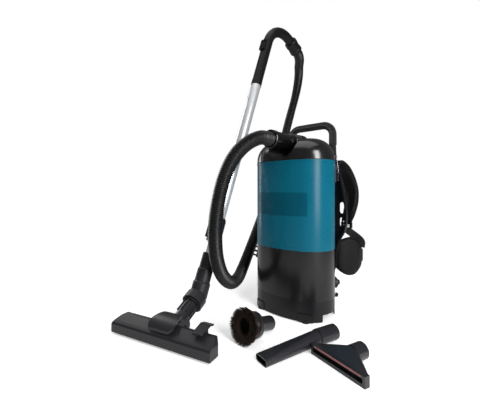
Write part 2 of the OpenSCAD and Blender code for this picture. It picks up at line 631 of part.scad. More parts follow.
// Black sleeve at the lower end of the outer tube, with the seat of its lock button.
module lock_sleeve() color(black) at_wand() difference() {
    union() {
        translate([0, 0, 156]) cylinder(r = 22.5, h = 66);
        translate([0, 0, 222]) cylinder(r1 = 22.5, r2 = 19, h = 8);
        block([-10, 10], [-29, 0], [164, 214]);
    }
    translate([0, 0, 166]) cylinder(r = outer_d / 2, h = 80);
    translate([0, 0, 150]) cylinder(r = inner_d / 2 + 0.4, h = 20);
    block([-7.4, 7.4], [-40, -24.4], [170, 208]);
}
module lock_button() color(charcoal) at_wand() {
    block([-7, 7], [-28.4, -24.8], [170.6, 196]);
    translate([0, -28.4, 176]) rotate([0, 90, 0]) cylinder(r = 2, h = 13, center = true, $fn = 32);
    for (k = [0 : 2]) block([-6, 6], [-30, -28.2], [182 + 4.5 * k, 184 + 4.5 * k]);
}

module handle_cuff() color(black) at_grip_end() difference() {
    rotate_extrude($fn = 96) polygon([[18.2, 2], [22.5, 2], [24.5, 5], [24.5, 20], [23.3, 23], [23.3, 40],
        [24.6, 43], [24.6, 54], [20.6, 54], [20.6, 16], [20.2, 16], [20.2, 11], [20.2, 5], [18.2, 5]]);
}

// ---------------------------------------------------------------- hose

// Route of the hose's middle. It hangs from the port in a wide loop beside the wand,
// passes the canister's -X side and climbs behind it to the handle.
hose_route = [[0, -160, 520], [-13, -191, 510], [-27, -220, 487], [-40, -242, 455], [-52, -259, 410],
    [-62, -268, 360], [-72, -271, 305], [-82, -266, 245], [-93, -249, 185], [-106, -215, 130],
    [-130, -155, 90], [-168, -82, 80], [-210, -8, 95], [-240, 60, 135], [-258, 120, 190],
    [-274, 190, 270], [-290, 265, 365], [-305, 340, 465], [-316, 400, 565], [-320, 440, 665],
    [-306, 460, 755], [-280, 457, 828], [-247, 430, 887], [-212, 380, 928]];
hose_start = [0, -116, 520];
hose_last = [elbow[0], handle_end[0] + 58 * sin(bend_turn), handle_end[1] - 58 * cos(bend_turn)];
hose_stop = [elbow[0], handle_end[0] + 14 * sin(bend_turn), handle_end[1] - 14 * cos(bend_turn)];
hose_line = concat([hose_start], curve(concat(hose_route, [hose_last]), [0, -1, 0],
    [0, -sin(bend_turn), cos(bend_turn)], 8), [hose_stop]);
hose_len = running(hose_line)[len(hose_line) - 1];

function ring(p, t, n, r, sides) = let (b = cross(t, n))
    [for (k = [0 : sides - 1]) p + r * (cos(360 * k / sides) * n + sin(360 * k / sides) * b)];

module hose() color(black) {
    sides = 8;
    pitch = hose_len / rib_count;
    marks = [for (k = [0 : 2 * rib_count]) k * hose_len / (2 * rib_count)];
    p = even(hose_line, marks);
    t = tangents(p);
    n = carried(t, [1, 0, 0]);
    // outer skin: crest, root, crest, ... with plain ends; inner skin: every sixth station
    outer = [for (i = [0 : len(p) - 1]) each ring(p[i], t[i], n[i],
        i == 0 || i == len(p) - 1 || i % 2 == 0 ? hose_d / 2 - 2.2 : hose_d / 2, sides)];
    pick = [for (i = [len(p) - 1 : -1 : 0]) if (i % 6 == 0 || i == len(p) - 1) i];
    inner = [for (i = pick) each ring(p[i], t[i], n[i], hose_d / 2 - 4.4, sides)];
    rows = len(p) + len(pick);
    pts = concat(outer, inner);
    closing = [for (k = [0 : sides - 1]) let (a = (rows - 1) * sides + k, b = (rows - 1) * sides + (k + 1) % sides,
        c = k, d = (k + 1) % sides) each [[a, b, d], [a, d, c]]];
    polyhedron(pts, [for (f = concat(skin_faces(rows, sides), closing)) [f[0], f[2], f[1]]]);
    echo(hose_length = hose_len, ribs = rib_count, pitch = pitch,
         triangles = 2 * sides * rows);
}

// ---------------------------------------------------------------- floor head

module at_head() translate([head_at[0], head_at[1], 0]) rotate([0, 0, head_yaw]) children();
module at_neck() at_head() translate([0, pivot_y, pivot_z]) rotate([-(90 - neck_rise), 0, 0]) children();

// Elbow on the inner tube: cuff, bulb at the bend and swivel collar over the yoke.
module neck_elbow() color(charcoal) difference() {
    union() {
        at_wand() {
            cylinder(r = 25.6, h = 34);
            translate([0, 0, 34]) cylinder(r1 = 25.6, r2 = 22.8, h = 4);
            translate([0, 0, 38]) cylinder(r = 22.8, h = 34);
            translate([0, 0, 72]) cylinder(r1 = 22.8, r2 = 20.2, h = 3);
            translate([0, 0, 75]) cylinder(r = 20.2, h = 45);
        }
        translate(elbow) sphere(r = 26);
        at_neck() {
            translate([0, 0, 75]) cylinder(r = 30.5, h = 26);
            translate([0, 0, 101]) cylinder(r1 = 30.5, r2 = 26.4, h = 5);
        }
    }
    at_wand() { translate([0, 0, 72]) cylinder(r = inner_d / 2, h = 60); cylinder(r = 14.6, h = 80); }
    translate(elbow) sphere(r = 15);
    at_neck() { translate([0, 0, 70]) cylinder(r = 18.1, h = 32); translate([0, 0, 60]) cylinder(r = 14.6, h = 52);
        translate([0, 0, 70]) cylinder(r = 26.5, h = 9); }
}

// Yoke: cross barrel in the head, ribbed tube, and the spigot that turns in the elbow.
module neck_yoke() color(charcoal) difference() {
    union() {
        at_head() translate([-21.8, pivot_y, pivot_z]) rotate([0, 90, 0]) cylinder(r = 19.5, h = 43.6);
        at_head() translate([-28, pivot_y, pivot_z]) rotate([0, 90, 0]) cylinder(r = 5, h = 56, $fn = 48);
        at_neck() {
            cylinder(r = 19, h = 72);
            translate([0, 0, 71]) cylinder(r = 17.8, h = 30);
            translate([0, 0, 71]) cylinder(r = 24, h = 5);
            for (a = [0 : 45 : 315]) rotate([0, 0, a]) translate([16, -1.5, 34]) cube([7, 3, 40]);
        }
    }
    at_neck() translate([0, 0, -2]) cylinder(r = 14.6, h = 130);
    at_head() translate([-15, pivot_y - 30, pivot_z - 11]) cube([30, 32, 20]);
}

pedal_at = [106, 44, 47.8];      // pin of the brush pedal

// Section of the shell, drawn in Y and Z: low front, top rising to the back.
shell_top = [[0, 5], [0, 26], [3.5, 30], [10, 33], [36, 43.5], [44, 44], [50, 40], [52, 34], [52, 5]];
module along_x(w) translate([-w / 2, 0, 0]) rotate([90, 0, 90]) linear_extrude(w) children();

// Front view of the shell with rounded upper corners, drawn in by i.
module head_front(i = 0) translate([0, 60, 0]) rotate([90, 0, 0]) linear_extrude(62) {
    translate([-head_w / 2 + 16, -1]) square([head_w - 32, 70]);
    translate([-head_w / 2 + i, -1]) square([head_w - 2 * i, 29]);
    for (s = [-1, 1]) translate([s * (head_w / 2 - 16), 28]) circle(r = 16 - i, $fn = 96);
}

module head_shell() color(charcoal) at_head() difference() {
    union() {
        intersection() {
            along_x(head_w) polygon(shell_top);
            translate([0, 0, -1]) linear_extrude(60) polygon([[-head_w / 2, -1], [-head_w / 2, 34],
                [-head_w / 2 + 16, 53], [head_w / 2 - 16, 53], [head_w / 2, 34], [head_w / 2, -1]]);
            head_front();
        }
        // cheeks that carry the yoke, and the hump under the cover
        for (s = [-1, 1]) translate([s * 26.6 - 4, 0, 0]) {
            translate([0, pivot_y, pivot_z]) rotate([0, 90, 0]) cylinder(r = 21, h = 8);
            translate([0, 40, 5.5]) cube([8, 36, 40]);
        }
        for (s = [-1, 1]) block([pedal_at[0] + s * 10.5 - 1.5, pedal_at[0] + s * 10.5 + 1.5], [40, 48], [42, 50.6]);
        intersection() {
            along_x(45.2) polygon([[20, 30], [20, 62], [52, 62], [52, 30]]);
            along_cover() cylinder(r = cover_r - 4.5, h = 200, $fn = 180);
        }
    }
    // suction chamber
    difference() {
        intersection() {
            along_x(head_w - 6) polygon([[3, 4], [3, 25.5], [11, 30], [36, 40.5], [49, 36], [49, 4]]);
            head_front(3);
        }
        for (s = [-1, 1]) block([min(s * 60, s * 62.5), max(s * 60, s * 62.5)], [0, 60], [22, 60]);
        translate([0, 0, -1]) difference() {
            block([-200, 200], [0, 60], [0, 60]);
            linear_extrude(60) polygon([[-head_w / 2 + 3, -1], [-head_w / 2 + 3, 32], [-head_w / 2 + 18, 50],
                [head_w / 2 - 18, 50], [head_w / 2 - 3, 32], [head_w / 2 - 3, -1]]);
        }
    }
    translate([-22.6, pivot_y, pivot_z]) rotate([0, 90, 0]) cylinder(r = 20.2, h = 45.2);
    translate([-14, 40, 14]) cube([28, 20, 26]);
    translate([-40, pivot_y, pivot_z]) rotate([0, 90, 0]) cylinder(r = 5.08, h = 80, $fn = 48);
    translate([-60, 66, 10]) rotate([0, 90, 0]) cylinder(r = 2.58, h = 120, $fn = 32);
    translate([90, pedal_at[1], pedal_at[2]]) rotate([0, 90, 0]) cylinder(r = 2.08, h = 32, $fn = 32);
    block([102, 110], [38, 50], [36, 43.6]);                       // slot of the pedal's arm
}

// Bowed cover over the neck's mouth: wide and rounded in front, narrower behind.
cover_r = 66; cover_at = [54, -6];
module along_cover() translate([-100, cover_at[0], cover_at[1]]) rotate([0, 90, 0]) children();
module head_cover() color(charcoal) at_head() intersection() {
    difference() {
        along_cover() cylinder(r = cover_r, h = 200, $fn = 180);
        along_cover() translate([0, 0, -1]) cylinder(r = cover_r - 4.45, h = 202, $fn = 180);
    }
    translate([0, 0, 30]) linear_extrude(40) {
        polygon([[-40, 22], [-26, 8], [26, 8], [40, 22], [39, 30], [31, 58], [24, 66], [-24, 66], [-31, 58], [-39, 30]]);
        for (s = [-1, 1]) {
            translate([s * 26, 22]) circle(r = 14);
            translate([s * 23, 58]) circle(r = 8);
        }
    }
}

module sole_plate() color(steel) at_head() difference() {
    translate([0, 0, 5]) linear_extrude(2.5) polygon([[-head_w / 2 + 3, 3], [-head_w / 2 + 3, 32],
        [-head_w / 2 + 17.2, 49], [head_w / 2 - 17.2, 49], [head_w / 2 - 3, 32], [head_w / 2 - 3, 3]]);
    block([-120, 120], [18, 32], [4, 9]);
    for (y = [9, 41]) block([-128, 128], [y - 3, y + 3], [4, 9]);
}

// Rocker pedal on the right of the head; the brush strips follow it.
module head_pedal() color(charcoal) at_head() {
    translate([pedal_at[0], 20, 45.2]) rotate([16, 0, 0]) {
        block([-14, 14], [0, 37], [0, 4]);
        translate([0, 37, 4]) rotate([-30, 0, 0]) block([-14, 14], [-2.2, 15], [-4, 0]);
    }
    translate([pedal_at[0] - 12, pedal_at[1], pedal_at[2]]) rotate([0, 90, 0]) cylinder(r = 2, h = 24, $fn = 32);
    block([pedal_at[0] - 3, pedal_at[0] + 3], [40.5, 47.5], [44.6, 53]);
}

module brush_strips() color([0.1, 0.1, 0.1]) at_head() {
    for (y = [9, 41]) {
        block([-127, 127], [y - 2, y + 2], [0, 9]);
        block([-130, 130], [y - 2.6, y + 2.6], [8.5, 13]);
    }
    for (x = [-100, 100]) block([x - 5, x + 5], [8, 42], [10, 13]);
}

module head_wheels() color(charcoal) at_head() for (s = [-1, 1]) {
    translate([s * 37.5 - 4.5, 66, 10]) rotate([0, 90, 0]) difference() {
        cylinder(r = 10, h = 9);
        translate([0, 0, s > 0 ? 6.5 : -0.5]) tube(7.5, 3.6, 0, 3);
    }
    translate([s > 0 ? 24 : -34, 66, 10]) rotate([0, 90, 0]) cylinder(r = 2.5, h = 10, $fn = 32);
}

// ---------------------------------------------------------------- hand tools

// Dusting brush lying on its bristles' edge and its socket.
brush_r = 46; socket_r = 18.5; brush_l = 112;
brush_tilt = atan((brush_r - socket_r) / brush_l);
module at_brush() translate([28, -277, brush_r * cos(brush_tilt)]) rotate([-(90 + brush_tilt), 0, 0]) children();

module dust_brush_body() color(black) at_brush() difference() {
    union() {
        translate([0, 0, 30]) cylinder(r = 33, h = 14);
        translate([0, 0, 44]) cylinder(r1 = 33, r2 = 30, h = 3);
        translate([0, 0, 47]) cylinder(r1 = 30, r2 = 20, h = 12);
        translate([0, 0, 59]) cylinder(r1 = 20, r2 = 17.9, h = 8);
        translate([0, 0, 67]) cylinder(r1 = 17.9, r2 = socket_r, h = 45);
    }
    translate([0, 0, 72]) cylinder(r = 16.1, h = 50);
    translate([0, 0, 20]) cylinder(r = 15, h = 60);
}
// Thick ring of bristles, flared at the tips and cut into tufts.
module dust_brush_bristles() color([0.14, 0.1, 0.07]) at_brush() difference() {
    rotate_extrude($fn = 96) polygon([[17.5, 0], [45.8, 0], [45, 3], [31.5, 30], [20, 30]]);
    for (a = [0 : 15 : 345]) rotate([0, 0, a + 7.5]) translate([24, -0.8, -1]) cube([30, 1.6, 14]);
}

// Crevice tool: round socket with a collar, blade tapering to a slanted mouth.
module at_crevice() translate([111, -309, 0]) rotate([0, 0, -18.2]) children();
module blade(d) hull() {
    translate([0, 164, 19]) rotate([-90, 0, 0]) cylinder(r = 17.5 - d, h = 2, $fn = 32);
    for (s = [-1, 1]) translate([s * 13, -2, 8.5]) rotate([-90, 0, 0]) cylinder(r = 8.5 - d, h = 2, $fn = 32);
}
module crevice_tool() color(black) at_crevice() difference() {
    union() {
        blade(0);
        translate([0, 160, 19]) rotate([-90, 0, 0]) cylinder(r = 19, h = 58);
        translate([0, 160, 19]) rotate([-90, 0, 0]) cylinder(r1 = 17.6, r2 = 19, h = 4);
    }
    difference() { blade(2.4); translate([-30, 155, -5]) cube([60, 20, 60]); }
    translate([0, 150, 19]) rotate([-90, 0, 0]) cylinder(r = 14, h = 30);
    translate([0, 172, 19]) rotate([-90, 0, 0]) cylinder(r = 16.1, h = 60);
    // slanted mouth
    rotate([0, 0, 0]) translate([-40, -20, -1]) rotate([0, 0, -24]) translate([-30, -34, 0]) cube([120, 40, 60]);
}

// Upholstery nozzle: flat fan, round socket, and a lint strip along its lower lip.
module at_nozzle() translate([238, -221, 0]) rotate([0, 0, -18]) children();
module fan(d) hull() {
    for (s = [-1, 1]) translate([s * (70 - d), d == 0 ? 0 : -1, d == 0 ? 6 : 8.5]) {
        cube([0.1, 12, 1]);
        translate([0, 0, d == 0 ? 14 : 7]) cube([0.1, 12, 1]);
    }
    translate([0, 50, 19]) rotate([-90, 0, 0]) cylinder(r = 17 - d, h = 2, $fn = 32);
}
module upholstery_nozzle() color(black) at_nozzle() difference() {
    union() {
        fan(0);
        block([-72, 72], [-2, 12], [0, 23]);
        translate([0, 48, 19]) rotate([-90, 0, 0]) cylinder(r = 19, h = 34);
    }
    fan(3);
    block([-66, 66], [-3, 6], [7, 17]);
    translate([0, 40, 19]) rotate([-90, 0, 0]) cylinder(r = 13.8, h = 20);
    translate([0, 56, 19]) rotate([-90, 0, 0]) cylinder(r = 16.1, h = 40);
    block([-62, 62], [-3, -0.5], [18.4, 22]);
}
module lint_strip() color([0.4, 0.05, 0.07]) at_nozzle() block([-61.6, 61.6], [-3.2, -0.6], [18.6, 21.8]);

// ---------------------------------------------------------------- nodes

place() base_tray();
place() feet();
place() motor_housing();
place() motor();
place() motor_filter();
place() drum_shell();
place() cap_gasket();
place() filter_basket();
place() filter_bag();
place() latch_bases();
place() cord_gland();
place() cord_hook();
place() switch_bezel();
place() backplate();
place() plate_spacers();
place() plate_screws();
place() back_pad();
place() shoulder_strap_l();
place() shoulder_strap_r();
place() strap_webbing();
place() strap_buckles();
place() strap_rings();
place() waist_wing_l();
place() waist_wing_r();
place() belt_webbing();
place() belt_tongue();
place() belt_socket();
place() carry_handle();
place() impeller();
place() switch_rocker();
place() cap_dome();
place() inlet_neck();
place() inlet_bellows();
place() cap_catches();
place() hose();
place() handle_tube();
place() outer_tube();
place() lock_sleeve();
place() inlet_cuff();
place() handle_cuff();
place() relief_slider();
place() lock_button();
place() latch_lever_l();
place() latch_lever_r();
place() latch_bail_l();
place() latch_bail_r();
place() inner_tube();
place() neck_elbow();
place() neck_yoke();
place() head_shell();
place() head_cover();
place() sole_plate();
place() head_pedal();
place() brush_strips();
place() head_wheels();
place() dust_brush_body();
place() dust_brush_bristles();
place() crevice_tool();
place() upholstery_nozzle();
place() lint_strip();
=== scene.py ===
# %% [markdown]
# # A backpack vacuum cleaner
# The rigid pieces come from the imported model, which is loaded first and never moved. This
# lesson dresses them: it sets the camera, lays the hose, gives every surface the finish of
# the real material, and makes the harness, the stitching and the bristles, which are soft
# or too fine for a solid model.

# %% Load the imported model
import bpy, bmesh
from math import atan, atan2, copysign, cos, degrees, exp, pi, radians, sin, sqrt
from mathutils import Vector, Matrix


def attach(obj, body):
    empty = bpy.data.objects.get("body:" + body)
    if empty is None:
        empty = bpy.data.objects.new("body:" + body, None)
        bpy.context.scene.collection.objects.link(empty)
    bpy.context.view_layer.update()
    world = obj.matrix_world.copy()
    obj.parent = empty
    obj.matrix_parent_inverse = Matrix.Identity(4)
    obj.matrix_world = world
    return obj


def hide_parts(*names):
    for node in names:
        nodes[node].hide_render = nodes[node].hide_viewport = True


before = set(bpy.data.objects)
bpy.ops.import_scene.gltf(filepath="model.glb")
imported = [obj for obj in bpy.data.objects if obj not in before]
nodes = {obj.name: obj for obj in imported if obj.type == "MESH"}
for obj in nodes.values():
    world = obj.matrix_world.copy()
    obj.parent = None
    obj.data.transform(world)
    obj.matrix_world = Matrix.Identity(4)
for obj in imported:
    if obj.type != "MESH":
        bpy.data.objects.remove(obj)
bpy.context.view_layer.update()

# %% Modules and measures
scene = bpy.context.scene
axis_x, axis_y = -0.0138, 0.0927     # the canister's axis in the row frame
mm = 0.001


def at(x, y, z):
    """A point given in millimetres from the foot of the canister's axis."""
    return Vector((axis_x + x * mm, axis_y + y * mm, z * mm))


# %% [markdown]
# ## Camera
# The cleaner stands about a metre away and is seen from its front right, at the height of
# the canister's middle. Verticals stay parallel, so the camera is level, and a small
# vertical shift takes the place of a tilt.

# %% Camera
camera_data = bpy.data.cameras.new("camera")
camera_data.lens, camera_data.sensor_width, camera_data.sensor_fit = 22.5, 36.0, "HORIZONTAL"
shift_px, picture_width_px = -20.5, 480
camera_data.shift_y = shift_px / picture_width_px
camera_data.clip_start = 0.02
camera = bpy.data.objects.new("camera", camera_data)
camera.location = at(509.3, -820.2, 376)
camera.rotation_euler = (radians(90), 0, radians(42.1))
scene.collection.objects.link(camera)
scene.camera = camera
print("camera", [round(v, 3) for v in camera.location])

# %% [markdown]
# ## Helpers for meshes
# Every piece ends as a plain mesh whose object sits at the origin. `make_object` does that,
# and `shade` gives the smooth look of a moulded or sewn surface.

# %% Mesh helpers
def linked(name, data):
    """A new object with that data, linked to the scene."""
    piece = bpy.data.objects.new(name, data)
    scene.collection.objects.link(piece)
    return piece


def make_object(name, vertices, faces, material=None, smooth=True):
    mesh = bpy.data.meshes.new(name)
    mesh.from_pydata([tuple(v) for v in vertices], [], faces)
    mesh.validate()
    mesh.update()
    piece = linked(name, mesh)
    if material:
        mesh.materials.append(material)
    if smooth:
        shade(piece)
    return piece


def shade(piece, angle=40):
    mesh = piece.data
    mesh.polygons.foreach_set("use_smooth", [True] * len(mesh.polygons))
    if angle < 180:
        mesh.set_sharp_from_angle(angle=radians(angle))


def object_from(work, name, material=None):
    """An object of a bmesh's shape."""
    mesh = bpy.data.meshes.new(name)
    work.to_mesh(mesh)
    work.free()
    piece = linked(name, mesh)
    if material:
        mesh.materials.append(material)
    return piece


def loft_faces(rings, sides):
    """Faces between rings of equally many points, with both ends closed."""
    faces = []
    for i in range(rings - 1):
        for k in range(sides):
            a, b = i * sides + k, i * sides + (k + 1) % sides
            faces.append((a, b, b + sides, a + sides))
    faces.append(tuple(range(sides - 1, -1, -1)))
    faces.append(tuple((rings - 1) * sides + k for k in range(sides)))
    return faces


def circle(count):
    """The cosines and sines of equal steps round a circle."""
    turns = [2 * pi * k / count for k in range(count)]
    return [(cos(a), sin(a)) for a in turns]


def outward(piece, merge=1e-6):
    """Closes doubles and turns every face outwards."""
    work = bmesh.new()
    work.from_mesh(piece.data)
    bmesh.ops.remove_doubles(work, verts=work.verts, dist=merge)
    bmesh.ops.recalc_face_normals(work, faces=work.faces)
    work.to_mesh(piece.data)
    work.free()


def baked(piece):
    """Replaces a piece's modifiers by their result, as one plain mesh at the origin."""
    bpy.context.view_layer.update()
    result = piece.evaluated_get(bpy.context.evaluated_depsgraph_get())
    mesh = bpy.data.meshes.new_from_object(result)
    if piece.type == "MESH":
        piece.modifiers.clear()
        piece.data = mesh
        return piece
    fresh = linked(piece.name, mesh)
    bpy.data.objects.remove(piece)
    return fresh


# %% [markdown]
# ## Curves through points
# Hose, straps and webbing all follow a few listed points. A Catmull-Rom curve goes
# through each of them, and `even_points` spaces the result evenly.

# %% Smooth paths
def catmull(points, start_dir, end_dir, steps=12):
    p = [Vector(q) for q in points]
    first = p[1] - 2 * (p[1] - p[0]).length * Vector(start_dir).normalized()
    last = p[-2] + 2 * (p[-1] - p[-2]).length * Vector(end_dir).normalized()
    q = [first] + p + [last]
    line = []
    for i in range(len(p) - 1):
        a, b, c, d = q[i], q[i + 1], q[i + 2], q[i + 3]
        for k in range(steps):
            t = k / steps
            line.append(0.5 * (2 * b + (c - a) * t + (2 * a - 5 * b + 4 * c - d) * t * t
                               + (3 * b - a - 3 * c + d) * t ** 3))
    return line + [p[-1]]


def length_of(line):
    return sum((b - a).length for a, b in zip(line, line[1:]))


def even_points(line, count):
    total, out, run, i = length_of(line), [], 0.0, 0
    for k in range(count):
        goal = total * k / (count - 1)
        while i < len(line) - 2 and run + (line[i + 1] - line[i]).length < goal:
            run += (line[i + 1] - line[i]).length
            i += 1
        step = (line[i + 1] - line[i]).length
        out.append(line[i].lerp(line[i + 1], min(1.0, (goal - run) / step)))
    return out


def square_to(direction, t):
    """The direction, made square to a tangent."""
    return (Vector(direction) - Vector(direction).dot(t) * t).normalized()


def tangents(line):
    return [(line[min(i + 1, len(line) - 1)] - line[max(i - 1, 0)]).normalized()
            for i in range(len(line))]


# %% [markdown]
# ## Helpers for node trees
# One small function adds a node, sets its properties and joins its inputs. It serves
# materials and Geometry Nodes alike.

# %% Node helpers
def feed(tree, node, **inputs):
    """Sets a node's inputs. They are named by socket, with _ for a space; a value may be a
    number, a tuple, an output socket, or a node, whose first output is then taken."""
    for key, value in inputs.items():
        if key.startswith("in_"):
            socket = node.inputs[int(key[3:])]
        else:
            socket = node.inputs[key.replace("_", " ")]
        if isinstance(value, bpy.types.Node):
            value = value.outputs[0]
        if isinstance(value, bpy.types.NodeSocket):
            tree.links.new(value, socket)
        else:
            socket.default_value = value
    return node


def add(tree, kind, settings=None, **inputs):
    """Adds a node with its settings and inputs."""
    node = tree.nodes.new(kind)
    for key, value in (settings or {}).items():
        setattr(node, key, value)
    return feed(tree, node, **inputs)


def maths(tree, operation, *values):
    """A Math node."""
    inputs = {f"in_{i}": value for i, value in enumerate(values)}
    return add(tree, "ShaderNodeMath", {"operation": operation}, **inputs)


def vector_maths(tree, operation, **inputs):
    """A Vector Math node."""
    return add(tree, "ShaderNodeVectorMath", {"operation": operation}, **inputs)


def ranged(tree, value, **ends):
    """A Map Range node, from 0 to 1 where no end is given."""
    return add(tree, "ShaderNodeMapRange", Value=value, **ends)


def noise(tree, place, scale, detail):
    return add(tree, "ShaderNodeTexNoise", Vector=place, Scale=scale, Detail=detail)


def bumped(tree, height, strength, distance, **below):
    """A Bump node, distance in metres; Normal may give the bump that lies below it."""
    return add(tree, "ShaderNodeBump", Height=height, Strength=strength, Distance=distance, **below)


def object_place(tree):
    return add(tree, "ShaderNodeTexCoord").outputs["Object"]


def blend_colours(tree, factor, low, high):
    """The colour output of one Mix node."""
    mix = add(tree, "ShaderNodeMix", {"data_type": "RGBA"}, in_0=factor, in_6=low, in_7=high)
    return mix.outputs[2]


def hex_linear(code):
    """An sRGB hex colour as the linear values that Blender's sockets take."""
    parts = [int(code[i:i + 2], 16) / 255 for i in (1, 3, 5)]
    return tuple(v / 12.92 if v <= 0.04045 else ((v + 0.055) / 1.055) ** 2.4 for v in parts) + (1.0,)


def scaled(colour, factor, lift=0.0):
    """A linear colour, darker or lighter by a factor."""
    return tuple(min(1, c * factor + lift) for c in colour[:3]) + (1,)


def empty_tree(owner):
    """The node tree of a material or world, with nothing in it."""
    owner.use_nodes = True
    owner.node_tree.nodes.clear()
    return owner.node_tree


def new_material(name):
    material = bpy.data.materials.new(name)
    tree = empty_tree(material)
    shader = add(tree, "ShaderNodeBsdfPrincipled")
    add(tree, "ShaderNodeOutputMaterial", Surface=shader)
    return material, tree, shader


def new_group(name, **inputs):
    """An empty Geometry Nodes tree that takes a geometry, the named numbers and a material."""
    group = bpy.data.node_groups.new(name, "GeometryNodeTree")
    sockets = group.interface
    sockets.new_socket("Geometry", in_out="INPUT", socket_type="NodeSocketGeometry")
    sockets.new_socket("Geometry", in_out="OUTPUT", socket_type="NodeSocketGeometry")
    for label, value in inputs.items():
        kind = "NodeSocketInt" if isinstance(value, int) else "NodeSocketFloat"
        sockets.new_socket(label, in_out="INPUT", socket_type=kind).default_value = value
    sockets.new_socket("Material", in_out="INPUT", socket_type="NodeSocketMaterial")
    return group, group.nodes.new("NodeGroupInput"), group.nodes.new("NodeGroupOutput")


def close_group(group, entry, leave, geometry):
    """Ends a tree: instances become real, and the result takes the tree's material."""
    real = add(group, "GeometryNodeRealizeInstances", Geometry=geometry)
    dressed = add(group, "GeometryNodeSetMaterial", Geometry=real, Material=entry.outputs["Material"])
    group.links.new(dressed.outputs[0], leave.inputs[0])


def run_group(piece, group, **values):
    """Puts a tree on a piece, sets its named inputs and bakes the result."""
    modifier = piece.modifiers.new(group.name, "NODES")
    modifier.node_group = group
    for item in group.interface.items_tree:
        if item.item_type == "SOCKET" and item.in_out == "INPUT" and item.name in values:
            modifier[item.identifier] = values[item.name]
    return baked(piece)


# %% [markdown]
# ## Finishes
# The canister is ABS, injection moulded in a polished tool: the lid and the motor housing in
# black, the drum in teal. A moulded panel is never optically flat, so a very low, wide bump
# breaks up its reflections, and a fine one gives the skin. Black parts that hands and floors
# touch are polypropylene with an etched, satin skin.

# %% Moulded plastics
def moulded(name, colour, roughness, coat=0.0, grain_mm=0.6, grain=0.15, drift=0.25, dust=0.0,
            sheen=0.3):
    """Injection-moulded plastic. grain_mm is the size of the tool's etching, drift how much
    the gloss wanders, dust how much pale dust lies on faces that look up, and sheen how
    strongly the bare surface mirrors (0.5 is clean polished plastic)."""
    material, tree, shader = new_material(name)
    place = object_place(tree)
    wide = noise(tree, place, 9.0, 2.0)
    fine = noise(tree, place, 1000 / grain_mm, 1.0)
    gloss = ranged(tree, wide, To_Min=roughness * (1 - drift),
                To_Max=roughness * (1 + drift))
    bump_wide = bumped(tree, wide, 0.04, 0.004)
    bump = bumped(tree, fine, grain, 0.0001,
               Normal=bump_wide)
    base = hex_linear(colour)
    colour_out = blend_colours(tree, wide, base, scaled(base, 1.25, 0.002))
    if dust:
        normal = add(tree, "ShaderNodeNewGeometry").outputs["Normal"]
        up = add(tree, "ShaderNodeSeparateXYZ", Vector=normal)
        specks = noise(tree, place, 260.0, 3.0)
        mask = maths(tree, "MULTIPLY", up.outputs["Z"], specks)
        soft = ranged(tree, mask, From_Min=0.35, From_Max=0.75, To_Max=dust)
        colour_out = blend_colours(tree, soft, colour_out, hex_linear("#8a8680"))
    feed(tree, shader, Base_Color=colour_out, Roughness=gloss, Normal=bump, IOR=1.5,
         Specular_IOR_Level=sheen, Coat_Weight=coat, Coat_Roughness=0.2)
    return material


teal_abs = moulded("teal moulded ABS", "#005266", 0.28, coat=0.0, grain=0.03, sheen=0.17)
black_abs = moulded("black polished ABS", "#0f0f11", 0.22, coat=1.0, grain=0.03, sheen=0.2)
housing_abs = moulded("black motor housing ABS", "#101012", 0.26, coat=0.1, grain=0.04, sheen=0.28)
cuff_abs = moulded("black gloss cuff ABS", "#060607", 0.16, coat=0.2, grain=0.03, sheen=0.3)
satin_pp = moulded("black satin polypropylene", "#0f0f11", 0.34, grain=0.2, sheen=0.24)
wand_pp = moulded("dark grey satin polypropylene", "#101012", 0.36, grain=0.2, sheen=0.2)
charcoal_pp = moulded("charcoal etched polypropylene", "#1e1e21", 0.38, grain=0.25, dust=0.01,
                      sheen=0.28)
tool_pp = moulded("black tool polypropylene", "#19191d", 0.28, coat=0.1, grain=0.1, dust=0.02,
                  sheen=0.4)
grey_pp = moulded("grey glass-filled nylon", "#75787c", 0.5, grain=0.3)
rubber = moulded("moulded nitrile rubber", "#161617", 0.55, grain=0.4, grain_mm=0.9)
bellows_pvc = moulded("soft PVC bellows", "#1b1b1d", 0.24, coat=0.2, grain=0.1, sheen=0.5)
print("plastics", len(bpy.data.materials))

# %% [markdown]
# ## Metals
# The wand is steel tube with satin chromium plate: a milky reflection with faint hairlines
# along the tube from polishing. The latches are brushed blackened steel and the plate's screws
# brushed stainless steel, whose grain runs one way and pulls a highlight out sideways.

# %% Metals
def metal(name, colour, roughness, brush=(0, 0, 0), strength=0.0, smears=0.0, metallic=1.0):
    """Bare or plated metal. brush is the pattern's scale per metre along x, y and z: small
    along the strokes and large across them. metallic below 1 gives a milky satin plate."""
    material, tree, shader = new_material(name)
    place = object_place(tree)
    stretch = add(tree, "ShaderNodeMapping", Vector=place, Scale=brush)
    strokes = noise(tree, stretch, 1.0, 2.0)
    cloud = noise(tree, place, 30.0, 3.0)
    rough = ranged(tree, cloud, From_Min=0.35, From_Max=0.7,
                To_Min=roughness, To_Max=roughness + smears)
    bump = bumped(tree, strokes, strength, 0.0001)
    feed(tree, shader, Base_Color=hex_linear(colour), Roughness=rough, Normal=bump, Metallic=metallic)
    return material


